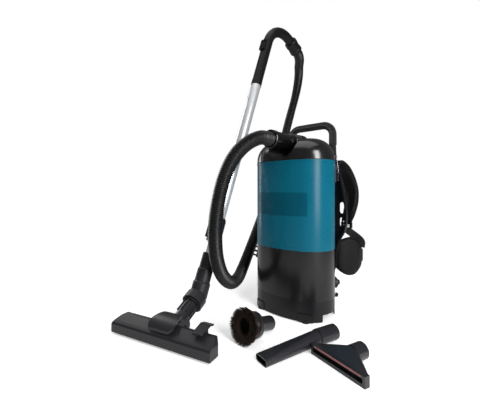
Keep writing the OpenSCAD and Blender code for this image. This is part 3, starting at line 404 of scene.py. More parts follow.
chrome = metal("satin chrome plate", "#e4e6e9", 0.3, brush=(1500, 1500, 12), strength=0.05, smears=0.02,
               metallic=0.68)
stainless = metal("brushed stainless steel", "#77797c", 0.34, brush=(2600, 2600, 60), strength=0.25,
                  smears=0.08)
black_steel = metal("blackened steel", "#26272a", 0.42, brush=(900, 900, 60), strength=0.2, smears=0.08)
spring_wire = metal("bright spring steel wire", "#8e9093", 0.24, brush=(900, 900, 900), strength=0.04,
                    smears=0.05)
sole_steel = metal("pressed steel sole", "#a8abae", 0.34, brush=(40, 2200, 2200), strength=0.3,
                   smears=0.12)
fan_aluminium = metal("spun aluminium", "#c9cbcc", 0.3, brush=(700, 700, 700), strength=0.15,
                      smears=0.06)
print("metals done")

# %% [markdown]
# ## Fabrics
# Webbing is polyester, woven flat: warp ribs run along it and the weft shows as small
# crossing dents. It reads the strip's own UV map, in metres, so the ribs bend with it. Pads
# are covered in a coarse nylon plain weave; it reads Object coordinates because the pads'
# meshes lose their UVs when they are remeshed.

# %% Woven materials
def webbing_material(name, colour, rib_mm=1.5):
    material, tree, shader = new_material(name)
    uv = add(tree, "ShaderNodeSeparateXYZ", Vector=add(tree, "ShaderNodeUVMap"))
    turn = 2 * pi * 1000 / rib_mm
    across = maths(tree, "SINE", maths(tree, "MULTIPLY", uv.outputs["X"], turn))
    along = maths(tree, "SINE", maths(tree, "MULTIPLY", uv.outputs["Y"], turn * 0.8))
    ribs = maths(tree, "MULTIPLY_ADD", maths(tree, "MULTIPLY", across, along), 0.5, across)
    bump = bumped(tree, ribs, 0.55, 0.0004)
    # Painted shade and highlight: the colour is darker in the weave's dents and lighter on its ribs,
    # following the same height that drives the bump.
    shadow = ranged(tree, ribs, From_Min=-1.2, From_Max=1.2)
    base = hex_linear(colour)
    tone = blend_colours(tree, shadow, scaled(base, 0.6), scaled(base, 1.5))
    feed(tree, shader, Base_Color=tone, Normal=bump, Roughness=0.5, Specular_IOR_Level=0.25,
         Sheen_Weight=0.05)
    return material


def cloth_material(name, colour, thread_mm=0.9, fuzz=0.3, shine=0.72):
    material, tree, shader = new_material(name)
    place = object_place(tree)
    parts = add(tree, "ShaderNodeSeparateXYZ", Vector=place)
    turn = 2 * pi * 1000 / thread_mm
    waves = [maths(tree, "SINE", maths(tree, "MULTIPLY", parts.outputs[axis], turn)) for axis in "XYZ"]
    weave = maths(tree, "MULTIPLY_ADD", waves[1], waves[2], maths(tree, "MULTIPLY", waves[0], waves[2]))
    mottling = noise(tree, place, 70.0, 4.0)
    bump = bumped(tree, weave, 0.35, 0.0003)
    crumple = bumped(tree, mottling, 0.25, 0.002,
                  Normal=bump)
    base = hex_linear(colour)
    tone = blend_colours(tree, mottling, scaled(base, 0.65), scaled(base, 1.5))
    feed(tree, shader, Base_Color=tone, Normal=crumple, Roughness=shine, Specular_IOR_Level=0.15,
         Sheen_Weight=fuzz)
    return material


black_webbing = webbing_material("black polyester webbing", "#131315")
pad_nylon = cloth_material("black nylon pad cover", "#070708", fuzz=0.0, shine=0.36)
binding_tape = cloth_material("black binding tape", "#0a0a0b", thread_mm=0.7, fuzz=0.0, shine=0.36)
lint_velvet = cloth_material("dark red lint velvet", "#7a0c1c", thread_mm=0.6, fuzz=0.9, shine=0.85)
bag_fleece = cloth_material("cream filter fleece", "#d6cdb4", thread_mm=0.8, fuzz=0.2, shine=0.9)
thread = cloth_material("grey bonded thread", "#55565a", thread_mm=0.4, shine=0.5)
print("fabrics done")

# %% [markdown]
# ## Bristles
# The round brush holds horsehair, which is never of one brown: some hairs are nearly black
# and some are paler. The floor head's strips are black nylon. Hair catches light along its
# length, so the finish is rather glossy. Noise mixes a dark and a pale tone over the tufts.

# %% Hair
def hair_material(name, dark, pale):
    material, tree, shader = new_material(name)
    place = object_place(tree)
    cells = noise(tree, place, 420.0, 2.0)
    tone = blend_colours(tree, cells, hex_linear(dark), hex_linear(pale))
    feed(tree, shader, Base_Color=tone, Normal=bumped(tree, cells, 0.3, 0.0005), Roughness=0.45)
    return material


horsehair = hair_material("brown horsehair", "#0d0806", "#40322a")
nylon_bristle = hair_material("black nylon bristle", "#0d0d0e", "#2a2a2c")

# %% [markdown]
# ## Hose
# The hose is a blown plastic tube with a rib every 5 mm. One curve carries its length;
# Geometry Nodes sweeps a round section along it and pushes each ring in or out by a rounded
# wave of the distance along the curve. The route is the model's own, so the hose lies
# exactly where its solid does, from the port's sleeve to the handle.

# %% The hose's route
bend_turn = radians(65)
elbow_x, handle_y, handle_z = -157.58, 219.47, 977.23
grip_dir = Vector((0, sin(bend_turn), -cos(bend_turn)))
handle_end = Vector((elbow_x, handle_y, handle_z))
hose_route = [(0, -160, 520), (-13, -191, 510), (-27, -220, 487), (-40, -242, 455), (-52, -259, 410),
              (-62, -268, 360), (-72, -271, 305), (-82, -266, 245), (-93, -249, 185), (-106, -215, 130),
              (-130, -155, 90), (-168, -82, 80), (-210, -8, 95), (-240, 60, 135), (-258, 120, 190),
              (-274, 190, 270), (-290, 265, 365), (-305, 340, 465), (-316, 400, 565), (-320, 440, 665),
              (-306, 460, 755), (-280, 457, 828), (-247, 430, 887), (-212, 380, 928)]
hose_last = handle_end + 58 * grip_dir
hose_middle = catmull(hose_route + [tuple(hose_last)], (0, -1, 0), -grip_dir, 16)
hose_ends = Vector((0, -116, 520)), handle_end + 14 * grip_dir
hose_line = [at(*p) for p in (hose_ends[0], *hose_middle, hose_ends[1])]

# %% Ribbed hose from a curve
hose_group, gi, go = new_group("ribs along a hose", Pitch=0.005, Crest=0.02, Depth=0.0026, Step=0.0009)
spaced = add(hose_group, "GeometryNodeResampleCurve", {"mode": "LENGTH"}, Curve=gi.outputs["Geometry"],
             Length=gi.outputs["Step"])
run = add(hose_group, "GeometryNodeSplineParameter").outputs["Length"]
kept = add(hose_group, "GeometryNodeStoreNamedAttribute", {"data_type": "FLOAT", "domain": "POINT"},
           Geometry=spaced, Name="along", Value=run)
section = add(hose_group, "GeometryNodeCurvePrimitiveCircle", Resolution=24, Radius=gi.outputs["Crest"])
swept = add(hose_group, "GeometryNodeCurveToMesh", Curve=kept, Profile_Curve=section)
distance = add(hose_group, "GeometryNodeInputNamedAttribute", {"data_type": "FLOAT"}, Name="along")
turns = maths(hose_group, "DIVIDE", distance, gi.outputs["Pitch"])
wave = maths(hose_group, "COSINE", maths(hose_group, "MULTIPLY", turns, 2 * pi))
inward = ranged(hose_group, wave, From_Min=0.8, From_Max=-0.5)
depth = maths(hose_group, "MULTIPLY", inward, gi.outputs["Depth"])
normal = add(hose_group, "GeometryNodeInputNormal")
push = maths(hose_group, "MULTIPLY", depth, -1.0)
shift = vector_maths(hose_group, "SCALE", Vector=normal, Scale=push)
ribbed = add(hose_group, "GeometryNodeSetPosition", Geometry=swept, Offset=shift)
marked = add(hose_group, "GeometryNodeStoreNamedAttribute", {"data_type": "FLOAT", "domain": "POINT"},
             Geometry=ribbed, Name="groove", Value=inward)
close_group(hose_group, gi, go, marked)


def curve_object(name, line):
    data = bpy.data.curves.new(name, "CURVE")
    data.dimensions = "3D"
    spline = data.splines.new("POLY")
    spline.points.add(len(line) - 1)
    for point, place in zip(spline.points, line):
        point.co = (*place, 1)
    return linked(name, data)


# %% [markdown]
# The hose's plastic is softer than the cuffs', with a satin gloss that breaks into a thin
# highlight on every rib. Light hardly gets into its grooves, so the colour darkens there,
# by the attribute that the sweep stored.

# %% Hose finish and piece
hose_skin, tree, shader = new_material("black EVA hose")
place = object_place(tree)
cloud = noise(tree, place, 40.0, 3.0)
crest = blend_colours(tree, cloud, hex_linear("#131315"), hex_linear("#1e1e20"))
groove = add(tree, "ShaderNodeAttribute", {"attribute_name": "groove"}).outputs["Fac"]
tone = blend_colours(tree, groove, crest, hex_linear("#020203"))
rough = ranged(tree, cloud, To_Min=0.28, To_Max=0.42)
feed(tree, shader, Base_Color=tone, Roughness=rough, Specular_IOR_Level=0.36)

hose_curve = curve_object("ribbed_hose_line", even_points(hose_line, 700))
hose = run_group(hose_curve, hose_group, Material=hose_skin, Pitch=0.005)
hose.name = "ribbed_hose"
outward(hose, 1e-5)
shade(hose, 180)
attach(hose, "cap")
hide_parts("hose")
[tuple(p) for p in even_points(hose_line, 120)]
print("hose triangles", 2 * len(hose.data.polygons))

# %% [markdown]
# ## Finishes on the rigid pieces
# A table from each solid to its finish. The solids keep their meshes; only their material
# slots change.

# %% Finish table
finishes = [
    (satin_pp, "base_tray cord_gland cord_hook switch_bezel backplate plate_spacers "
               "strap_buckles inlet_neck cap_catches head_wheels"),
    (rubber, "feet cap_gasket"),
    (housing_abs, "motor_housing"),
    (sole_steel, "motor sole_plate"),
    (bag_fleece, "motor_filter"),
    (teal_abs, "drum_shell"),
    (grey_pp, "filter_basket"),
    (black_steel, "latch_bases latch_lever_l latch_lever_r"),
    (stainless, "plate_screws"),
    (spring_wire, "strap_rings latch_bail_l latch_bail_r"),
    (cuff_abs, "belt_tongue belt_socket switch_rocker inlet_cuff"),
    (fan_aluminium, "impeller"),
    (black_abs, "cap_dome"),
    (bellows_pvc, "inlet_bellows"),
    (wand_pp, "handle_tube lock_sleeve handle_cuff"),
    (chrome, "outer_tube inner_tube"),
    (charcoal_pp, "relief_slider lock_button neck_elbow neck_yoke head_shell head_cover "
                  "head_pedal"),
    (tool_pp, "dust_brush_body crevice_tool upholstery_nozzle"),
    (lint_velvet, "lint_strip"),
]
for material, names in finishes:
    for name in names.split():
        nodes[name].data.materials.clear()
        nodes[name].data.materials.append(material)
print(len(finishes), "finishes on the solids")

# %% [markdown]
# ## Front panel
# A polyester film lies on the drum's front. It is thin, follows the drum's plan and has
# rounded corners. It stays bare. The film is a strip of small faces laid along the plan's
# three arcs, 0.3 mm proud, with a rim.

# %% Film on the drum
end_x, end_r, half_depth = 47.0, 80.0, 86.0
bow_r = (end_x ** 2 + half_depth ** 2 - end_r ** 2) / (2 * (half_depth - end_r))
bow_y = bow_r - half_depth
seam = atan2(bow_y, end_x)


def drum_front(run, proud):
    """A point of the drum's front outline, run millimetres to the right of its middle."""
    flank = bow_r * (pi / 2 - seam)
    if abs(run) <= flank:
        a = -pi / 2 + run / bow_r
        return (bow_r + proud) * cos(a), bow_y + (bow_r + proud) * sin(a)
    a = -seam + (abs(run) - flank) / end_r
    x = end_x + (end_r + proud) * cos(a)
    return copysign(x, run), (end_r + proud) * sin(a)


def film_panel(name, left, right, low, high, corner, material):
    columns, rows = 60, 12
    points = []
    for proud in (0.3, 0.02):
        for i in range(columns + 1):
            run = left + (right - left) * i / columns
            edge = min(run - left, right - run)
            short = min(max(corner - edge, 0.0), corner)
            cut = corner - sqrt(corner ** 2 - short ** 2)
            for j in range(rows + 1):
                x, y = drum_front(run, proud)
                points.append(at(x, y, low + cut + (high - low - 2 * cut) * j / rows))
    n, faces = rows + 1, []
    back = (columns + 1) * n
    for i in range(columns):
        for j in range(rows):
            a = i * n + j
            faces.append((a, a + n, a + n + 1, a + 1))
            faces.append((back + a, back + a + 1, back + a + n + 1, back + a + n))
        for j in (0, rows):
            a = i * n + j
            faces.append((a, a + n, back + a + n, back + a))
    for i in (0, columns):
        for j in range(rows):
            a = i * n + j
            faces.append((a, a + 1, back + a + 1, back + a))
    piece = make_object(name, points, faces, material)
    outward(piece)
    shade(piece, 50)
    return piece


film_teal = moulded("teal printed polyester film", "#004354", 0.3, grain=0.02, sheen=0.1)
panel = film_panel("front_film", left=-90, right=88, low=300, high=367, corner=5, material=film_teal)
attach(panel, "canister")
print("film", len(panel.data.polygons), "faces")

# %% [markdown]
# ## Strips of webbing
# Webbing is flat and thin, so it is modelled directly: a strip with a rounded edge, swept
# along a path and turned so that its width keeps to one side. Its UV map is in metres.

# %% Strip builder
def lay_uvs(piece, uvs):
    """A UV map from one pair of metres per vertex."""
    layer = piece.data.uv_layers.new(name="UVMap")
    for loop in piece.data.loops:
        layer.data[loop.index].uv = uvs[loop.vertex_index]


def strip(name, line, side, widths, thick, material, rows=6):
    """A closed band of that thickness. side is the width's direction; widths are per point."""
    dirs = tangents(line)
    spots = [-0.5 + k / rows for k in range(rows + 1)]
    ring = [(a, 0.5) for a in spots] + [(0.5, 0.0)]
    ring += [(-a, -b) for a, b in ring]
    vertices, uvs, run = [], [], 0.0
    for i, point in enumerate(line):
        t = dirs[i]
        w = square_to(side, t)
        up = t.cross(w)
        run += (point - line[i - 1]).length if i else 0.0
        for a, b in ring:
            edge = 1.0 if abs(a) < 0.49 else 0.55
            pull = 0.5 * thick if abs(b) < 0.1 else 0.0
            reach = a * widths[i] + copysign(pull, a) * (abs(a) > 0.49)
            vertices.append(point + w * reach + up * b * thick * edge)
            uvs.append((a * widths[i], run))
    piece = make_object(name, vertices, loft_faces(len(line), len(ring)), material)
    outward(piece)
    lay_uvs(piece, uvs)
    shade(piece, 60)
    return piece


# %% [markdown]
# ## Padded harness
# Each shoulder strap and belt wing is foam in a nylon cover, bound with tape along its edge.
# The pad starts as a plain band, slightly thin. A voxel remesh makes its mesh even, and a
# short cloth simulation with inner pressure swells it, so that its faces crown and its edges
# draw in. The swell is capped, so the pad stays where its solid is.

# %% Pad builder
def swell(piece, pressure=4.0, cap=0.004, voxel=0.005):
    remesh = piece.modifiers.new("even mesh", "REMESH")
    remesh.mode, remesh.voxel_size = "VOXEL", voxel
    baked(piece)
    rest = [v.co.copy() for v in piece.data.vertices]
    cloth = piece.modifiers.new("swell", "CLOTH")
    cloth.settings.use_pressure = True
    cloth.settings.uniform_pressure_force = pressure
    cloth.settings.effector_weights.gravity = 0
    cloth.settings.tension_stiffness = cloth.settings.compression_stiffness = 20
    cloth.settings.bending_stiffness = 0.5
    cloth.point_cache.frame_start, cloth.point_cache.frame_end = 1, 20
    for number in range(1, 21):
        scene.frame_set(number)
    baked(piece)
    scene.frame_set(1)
    for vertex, home in zip(piece.data.vertices, rest):
        moved = vertex.co - home
        if moved.length > cap:
            vertex.co = home + moved * (cap / moved.length)
    smooth = piece.modifiers.new("one subdivision", "SUBSURF")
    smooth.levels = smooth.render_levels = 1
    baked(piece)
    shade(piece, 180)
    return piece


def smooth_line(points, start_dir, end_dir, count):
    """Evenly spaced points of the curve through points that are given in millimetres."""
    return even_points([at(*p) for p in catmull(points, start_dir, end_dir, 8)], count)


def mirrored(points):
    """A path in millimetres, mirrored to the canister's other side."""
    return [(-x, y, z) for x, y, z in points]


# %% Shoulder straps
strap_path = [(70, 106.6, 434), (71, 107.6, 448), (75, 115, 460), (83, 132, 464), (93, 157, 445),
              (100, 180, 412), (105, 193, 375), (105, 195, 335), (99, 191, 298), (91, 188, 264)]


def edge_line(line, side, widths, sign, inset):
    """A line along one edge of a band."""
    out = []
    for point, t, width in zip(line, tangents(line), widths):
        w = square_to(side, t)
        out.append(point + w * sign * (width / 2 - inset))
    return out


def tube(name, line, radius, material, sides=10):
    dirs = tangents(line)
    normal = dirs[0].orthogonal().normalized()
    vertices = []
    for point, t in zip(line, dirs):
        normal = square_to(normal, t)
        other = t.cross(normal)
        vertices += [point + radius * (c * normal + s * other) for c, s in circle(sides)]
    piece = make_object(name, vertices, loft_faces(len(line), sides), material)
    outward(piece)
    shade(piece, 60)
    return piece


binding_inset, binding_r = 0.0032, 0.003


def pad_band(name, line, side, widths, thicks, node):
    """A padded band: foam swollen by cloth, and binding tape along both edges."""
    dirs = tangents(line)
    section, edge_power, face_power = 20, 0.35, 0.75
    vertices = []
    for i, point in enumerate(line):
        t = dirs[i]
        w = square_to(side, t)
        up = t.cross(w)
        for c, s in circle(section):
            across = copysign(abs(c) ** edge_power, c) * (widths[i] / 2 - 0.0005)
            through = copysign(abs(s) ** face_power, s) * (thicks[i] / 2 - 0.001)
            vertices.append(point + w * across + up * through)
    piece = make_object(name, vertices, loft_faces(len(line), section), pad_nylon)
    outward(piece)
    swell(piece, cap=0.003, voxel=0.004)
    if not piece.data.materials:
        piece.data.materials.append(pad_nylon)
    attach(piece, "canister")
    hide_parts(node)
    for sign in (-1, 1):
        edge = edge_line(line, side, widths, sign, binding_inset)
        tape = tube(f"{name}_binding_{'in' if sign < 0 else 'out'}", edge, binding_r, binding_tape)
        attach(tape, "canister")
    return piece


strap_lines = {}
for tag, path in (("r", strap_path), ("l", mirrored(strap_path))):
    line = smooth_line(path, (0, 0, 1), (0, 0, -1), 60)
    m = len(line) - 1
    widths = [(50 - 14 * (abs(i / m - 0.4) / 0.6) ** 3) * mm for i in range(m + 1)]
    thicks = [(14 - 5 * (abs(i / m - 0.5) * 2) ** 4) * mm for i in range(m + 1)]
    strap_lines[tag] = line
    node = f"shoulder_strap_{tag}"
    pad_band(f"shoulder_pad_{tag}", line, (1, 0, 0), widths, thicks, node)
print("shoulder straps", round(length_of(strap_lines["r"]), 3), "m long")

# %% Belt wings
wing_path = [(84, 109, 165), (96, 110.5, 165), (110, 120, 164), (125, 136, 162), (137, 157, 160),
             (142, 180, 158)]
for tag, path, end in (("r", wing_path, (0.1, 1, 0)), ("l", mirrored(wing_path), (-0.1, 1, 0))):
    sign = 1 if tag == "r" else -1
    line = smooth_line(path, (sign, 0, 0), end, 36)
    m = len(line) - 1
    widths = [(78 + 48 * sin(radians(162 * i / m)) - 40 * (i / m) ** 6) * mm
              for i in range(m + 1)]
    thicks = [(14 - 4 * (i / m) ** 4) * mm for i in range(m + 1)]
    node = f"waist_wing_{tag}"
    pad_band(f"belt_wing_{tag}", line, (0, 0, 1), widths, thicks, node)

# %% [markdown]
# ## Back pad
# The pad on the plate is one piece of foam with sewn channels that let air through. Its
# outline is the plate's, drawn in. It is filled, given its thickness, swollen as the straps
# are, and then pressed in along the channels.

# %% Back pad
plate_side = [(66, 498), (92, 474), (110, 420), (124, 350), (131, 296), (126, 250), (108, 215),
              (98, 180), (96, 140), (84, 108), (60, 96)]


plate_middle_z, plate_half_height = 297, 200
pad_inset, pad_top, pad_y, pad_thick = 28, 427.0, 102.3, 0.0095


def plate_half(inset):
    line = catmull([(x, z, 0) for x, z in plate_side], (1, -0.3, 0), (-1, -0.1, 0), 6)
    return [(max(p.x - inset, 1.0), p.y + (plate_middle_z - p.y) * inset / plate_half_height)
            for p in line]


half = [(x, min(z, pad_top)) for x, z in plate_half(pad_inset) if z <= pad_top + 13]
outline = half + [(-x, z) for x, z in reversed(half)]
work = bmesh.new()
ring = [work.verts.new(at(x, pad_y, z)) for x, z in outline]
face = work.faces.new(ring)
back = bmesh.ops.extrude_face_region(work, geom=[face])
moved = [v for v in back["geom"] if isinstance(v, bmesh.types.BMVert)]
bmesh.ops.translate(work, vec=(0, pad_thick, 0), verts=moved)
bmesh.ops.recalc_face_normals(work, faces=work.faces)
back_cushion = object_from(work, "back_cushion", pad_nylon)
swell(back_cushion, pressure=5.0, cap=0.004, voxel=0.005)
plate_front = axis_y + 0.1022
channel_levels, channel_reach, column_x = range(180, 381, 40), 46, 50


def channel(distance, width):
    """A channel's depth, from 1 in its middle to 0 away from it."""
    return exp(-(distance / width) ** 2)


for vertex in back_cushion.data.vertices:
    x, z = (vertex.co.x - axis_x) / mm, vertex.co.z / mm
    ends = channel(max(abs(x) - channel_reach, 0), 5)
    depth = max(channel(z - level, 4.5) * ends for level in channel_levels)
    depth = max(depth, 0.8 * channel(abs(x) - column_x, 3.5))
    front = vertex.co.y - plate_front
    if front > 0.004:
        vertex.co.y = plate_front + front * (1 - 0.45 * depth)
    vertex.co.y = max(vertex.co.y, plate_front)
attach(back_cushion, "canister")
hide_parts("back_pad")
print("back pad", len(back_cushion.data.polygons), "faces")

# %% [markdown]
# ## Harness webbing
# The shoulder straps end in ladder buckles. From each buckle a narrow web runs down to the
# belt wing, and the belt's two ends hang forward with the halves of a side-release buckle.

# %% Webbing strips
web_path = [(91, 188, 245), (95, 191, 236), (112, 199, 221), (131, 198, 207), (141, 189, 197),
            (142, 181, 186)]
webs = []
for tag, path, side in (("r", web_path, (1, 0.2, 0.6)), ("l", mirrored(web_path), (-1, 0.2, 0.6))):
    line = smooth_line(path, (0, 0, -1), (0, -0.3, -1), 40)
    webs.append(strip(f"strap_web_{tag}", line, side, [0.024] * len(line), 0.0021, black_webbing))
    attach(webs[-1], "canister")
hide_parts("strap_webbing")
tail_l = [(-142, 180, 158), (-146, 188, 157), (-160, 196, 154), (-196, 182, 144), (-232, 160, 132),
          (-252, 146, 122)]
tail_r = [(142, 180, 158), (138, 206, 157), (118, 220, 152), (88, 224, 148)]
belts = []
for tag, path, end in (("l", tail_l, (-1, -0.6, -0.4)), ("r", tail_r, (-1, 0.1, -0.1))):
    line = smooth_line(path, (0, 1, 0), end, 50)
    belts.append(strip(f"belt_web_{tag}", line, (0, 0, 1), [0.038] * len(line), 0.0023, black_webbing))
    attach(belts[-1], "canister")
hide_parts("belt_webbing")
print("webbing", len(webs) + len(belts), "strips")

# %% [markdown]
# ## Carry loop
# The loop is webbing rolled round a foam core and closed with zigzag stitching. It is a soft
# tube with a slightly flat section, flattening to the two tabs that are riveted to the
# plate.

# %% Carry loop
loop_x, loop_z, loop_bend = 79.0, 588.0, 34.0
loop_path = [Vector((loop_x, 506, 0)), Vector((loop_x, 530, 0))]
corner = Vector((loop_x - loop_bend, loop_z - loop_bend, 0))
for k in range(13):
    a = radians(7.5 * k)
    loop_path.append(corner + loop_bend * Vector((cos(a), sin(a), 0)))
loop_path += [Vector((-p.x, p.y, 0)) for p in reversed(loop_path)]
loop_line = even_points([at(p.x, 106, p.y) for p in loop_path], 150)
total = length_of(loop_line)
vertices, uvs = [], []
sides, loop_r, rolled_width = 28, 0.0122, 0.068
for i, (point, t) in enumerate(zip(loop_line, tangents(loop_line))):
    s = total * i / (len(loop_line) - 1)
    grow = min(1.0, 0.55 + 0.45 * min(s, total - s) / 0.016)
    out = Vector((0, 1, 0))
    other = t.cross(out)
    for k in range(sides):
        a = 2 * pi * k / sides
        seam = 1.0 + 0.05 * exp(-((degrees(a) - 90) / 14) ** 2)
        r = loop_r * grow * seam * (1 + 0.008 * sin(s / 0.011))
        vertices.append(point + other * r * cos(a) + out * r * sin(a) * 0.98)
        uvs.append((rolled_width * k / sides, s))
carry_loop = make_object("carry_loop", vertices, loft_faces(len(loop_line), sides), black_webbing)
lay_uvs(carry_loop, uvs)
outward(carry_loop)
shade(carry_loop, 60)
tabs = []
for sign in (-1, 1):
    line = [at(sign * loop_x, 103.6, z) for z in range(463, 514, 5)]
    tabs.append(strip(f"carry_tab_{'l' if sign < 0 else 'r'}", line, (1, 0, 0), [0.023] * len(line),
                      0.003, black_webbing))
for piece in [carry_loop] + tabs:
    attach(piece, "canister")
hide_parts("carry_handle")
print("carry loop", round(total, 3), "m")

# %% [markdown]
# ## Stitching
# Stitches repeat at a fixed step along a line, so Geometry Nodes places them: the curve is
# resampled by length, a small rounded bar goes on each point, turned along the curve and,
# for a zigzag, swung to alternate sides.

# %% Stitches along a curve
stitch_group, gi, go = new_group("stitches along a seam", Step=0.004, Length=0.003, Thickness=0.0004,
                                 Swing=0.0)
spots = add(stitch_group, "GeometryNodeResampleCurve", {"mode": "LENGTH"}, Curve=gi.outputs["Geometry"],
            Length=gi.outputs["Step"])
points = add(stitch_group, "GeometryNodeCurveToPoints", {"mode": "EVALUATED"}, Curve=spots)
bar = add(stitch_group, "GeometryNodeMeshCylinder", Vertices=6, Radius=gi.outputs["Thickness"],
          Depth=gi.outputs["Length"])
number = add(stitch_group, "GeometryNodeInputIndex")
side = maths(stitch_group, "MULTIPLY_ADD", maths(stitch_group, "MODULO", number, 2.0), 2.0, -1.0)
swing = maths(stitch_group, "MULTIPLY", side, gi.outputs["Swing"])
spin = add(stitch_group, "FunctionNodeAxisAngleToRotation", Axis=(0.0, 1.0, 0.0), Angle=swing)
turned = add(stitch_group, "FunctionNodeRotateRotation", {"rotation_space": "LOCAL"},
             Rotation=points.outputs["Rotation"], Rotate_By=spin)
placed = add(stitch_group, "GeometryNodeInstanceOnPoints", Points=points, Instance=bar,
             Rotation=turned)
close_group(stitch_group, gi, go, placed)


def stitch(name, line, body, slot, **values):
    piece = run_group(curve_object(name, line), stitch_group, Material=thread, **values)
    piece.name = name
    shade(piece, 60)
    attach(piece, body)
    return piece


zigzag_y = 0.0121
for name, offset in (("front", zigzag_y), ("back", -zigzag_y)):
    seam = [p + Vector((0, offset, 0)) for p in loop_line[12:-12]]
    stitch(f"loop_zigzag_{name}", seam, "canister", "carry_handle", Step=0.0032, Length=0.0052,
           Swing=0.9, Thickness=0.00045)
print("zigzag rows at", zigzag_y)

# %% [markdown]
# ## Round brush
# Horsehair stands in a ring on the brush's face and flares towards its tips. Geometry Nodes
# scatters roots over the ring with a fixed seed, finds each hair's tip from its root, and
# puts one thin tapered bar between them.

# %% Hairs of the round brush
brush_r, socket_r, brush_length = 46, 18.5, 112
brush_tilt = atan((brush_r - socket_r) / brush_length)
brush_face = at(28, -277, brush_r * cos(brush_tilt))
brush_turn = Matrix.Rotation(-(pi / 2 + brush_tilt), 4, "X")
brush_place = Matrix.Translation(brush_face) @ brush_turn

hair_group, gi, go = new_group("hairs from a ring", Density=3200000.0, Hair=0.0004, Reach=0.030,
                               Flare=1.45, Seed=7)
roots = add(hair_group, "GeometryNodeDistributePointsOnFaces", Mesh=gi.outputs["Geometry"],
            Density=gi.outputs["Density"], Seed=gi.outputs["Seed"])
where = add(hair_group, "GeometryNodeInputPosition")
split = add(hair_group, "ShaderNodeSeparateXYZ", Vector=where)
flat = add(hair_group, "ShaderNodeCombineXYZ", X=split.outputs["X"], Y=split.outputs["Y"], Z=0.0)
out = add(hair_group, "ShaderNodeVectorMath", {"operation": "LENGTH"}, in_0=flat).outputs["Value"]
lean = ranged(hair_group, out, From_Min=0.020, From_Max=0.0315,
           To_Min=-0.05, To_Max=gi.outputs["Flare"])
spread = vector_maths(hair_group, "SCALE", Vector=flat, Scale=0.31)
jitter = add(hair_group, "FunctionNodeRandomValue", {"data_type": "FLOAT_VECTOR"},
             in_0=(-0.0012, -0.0012, -0.001), in_1=(0.0012, 0.0012, 0.001), Seed=gi.outputs["Seed"])
push = vector_maths(hair_group, "SCALE", Vector=spread, Scale=lean)
reach = add(hair_group, "ShaderNodeCombineXYZ", X=0.0, Y=0.0,
            Z=maths(hair_group, "MULTIPLY", gi.outputs["Reach"], -1.0))
way = vector_maths(hair_group, "ADD", in_0=push, in_1=reach)
way = vector_maths(hair_group, "ADD", in_0=way, in_1=jitter)
long = add(hair_group, "ShaderNodeVectorMath", {"operation": "LENGTH"}, in_0=way)
facing = add(hair_group, "FunctionNodeAlignRotationToVector", {"axis": "Z"}, Vector=way)
one = add(hair_group, "GeometryNodeMeshCone", Vertices=4, Radius_Top=0.6, Radius_Bottom=1.0, Depth=1.0)
size = add(hair_group, "ShaderNodeCombineXYZ", X=gi.outputs["Hair"], Y=gi.outputs["Hair"],
           Z=long.outputs["Value"])
grown = add(hair_group, "GeometryNodeInstanceOnPoints", Points=roots, Instance=one,
            Rotation=facing, Scale=size)
close_group(hair_group, gi, go, grown)

work = bmesh.new()
inner, outer = [], []
sides, ring_in, ring_out, root_z = 48, 0.0205, 0.0312, 0.0305
for c, s in circle(sides):
    inner.append(work.verts.new((ring_in * c, ring_in * s, root_z)))
    outer.append(work.verts.new((ring_out * c, ring_out * s, root_z)))
for k in range(sides):
    after = (k + 1) % sides
    work.faces.new((inner[k], outer[k], outer[after], inner[after]))
hair = object_from(work, "round_brush_hair")
hair = run_group(hair, hair_group, Material=horsehair)
hair.data.transform(brush_place)
hair.name = "round_brush_hair"
for vertex in hair.data.vertices:
    vertex.co.z = max(vertex.co.z, 0.0003)
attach(hair, "dusting_brush")
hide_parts("dust_brush_bristles")
print("hairs", len(hair.data.polygons) // 6)

# %% [markdown]
# ## Strip brushes of the floor head
# Two rows of nylon tufts stand in holders under the head. A straight curve is resampled,
# and each point takes a short tuft of its own random lean.

# %% Nylon tufts
head_x, head_y, head_yaw = -116, -427, radians(14)


def on_head(x, y, z):
    """A point in the floor head's own millimetres."""
    return at(head_x + x * cos(head_yaw) - y * sin(head_yaw),
              head_y + x * sin(head_yaw) + y * cos(head_yaw), z)


tuft_group, gi, go = new_group("tufts along a strip", Step=0.0016, Height=0.009, Width=0.0009, Seed=3)
spots = add(tuft_group, "GeometryNodeResampleCurve", {"mode": "LENGTH"}, Curve=gi.outputs["Geometry"],
            Length=gi.outputs["Step"])
points = add(tuft_group, "GeometryNodeCurveToPoints", {"mode": "EVALUATED"}, Curve=spots)
spike = add(tuft_group, "GeometryNodeMeshCone", Vertices=5, Radius_Top=1.0, Radius_Bottom=0.7,
            Depth=1.0)
tilt = add(tuft_group, "FunctionNodeRandomValue", {"data_type": "FLOAT_VECTOR"},
           in_0=(-0.1, -0.16, 0.0), in_1=(0.1, 0.16, 6.0), Seed=gi.outputs["Seed"])
size = add(tuft_group, "ShaderNodeCombineXYZ", X=gi.outputs["Width"], Y=gi.outputs["Width"],
           Z=gi.outputs["Height"])
grown = add(tuft_group, "GeometryNodeInstanceOnPoints", Points=points, Instance=spike,
            Rotation=tilt, Scale=size)
close_group(tuft_group, gi, go, grown)

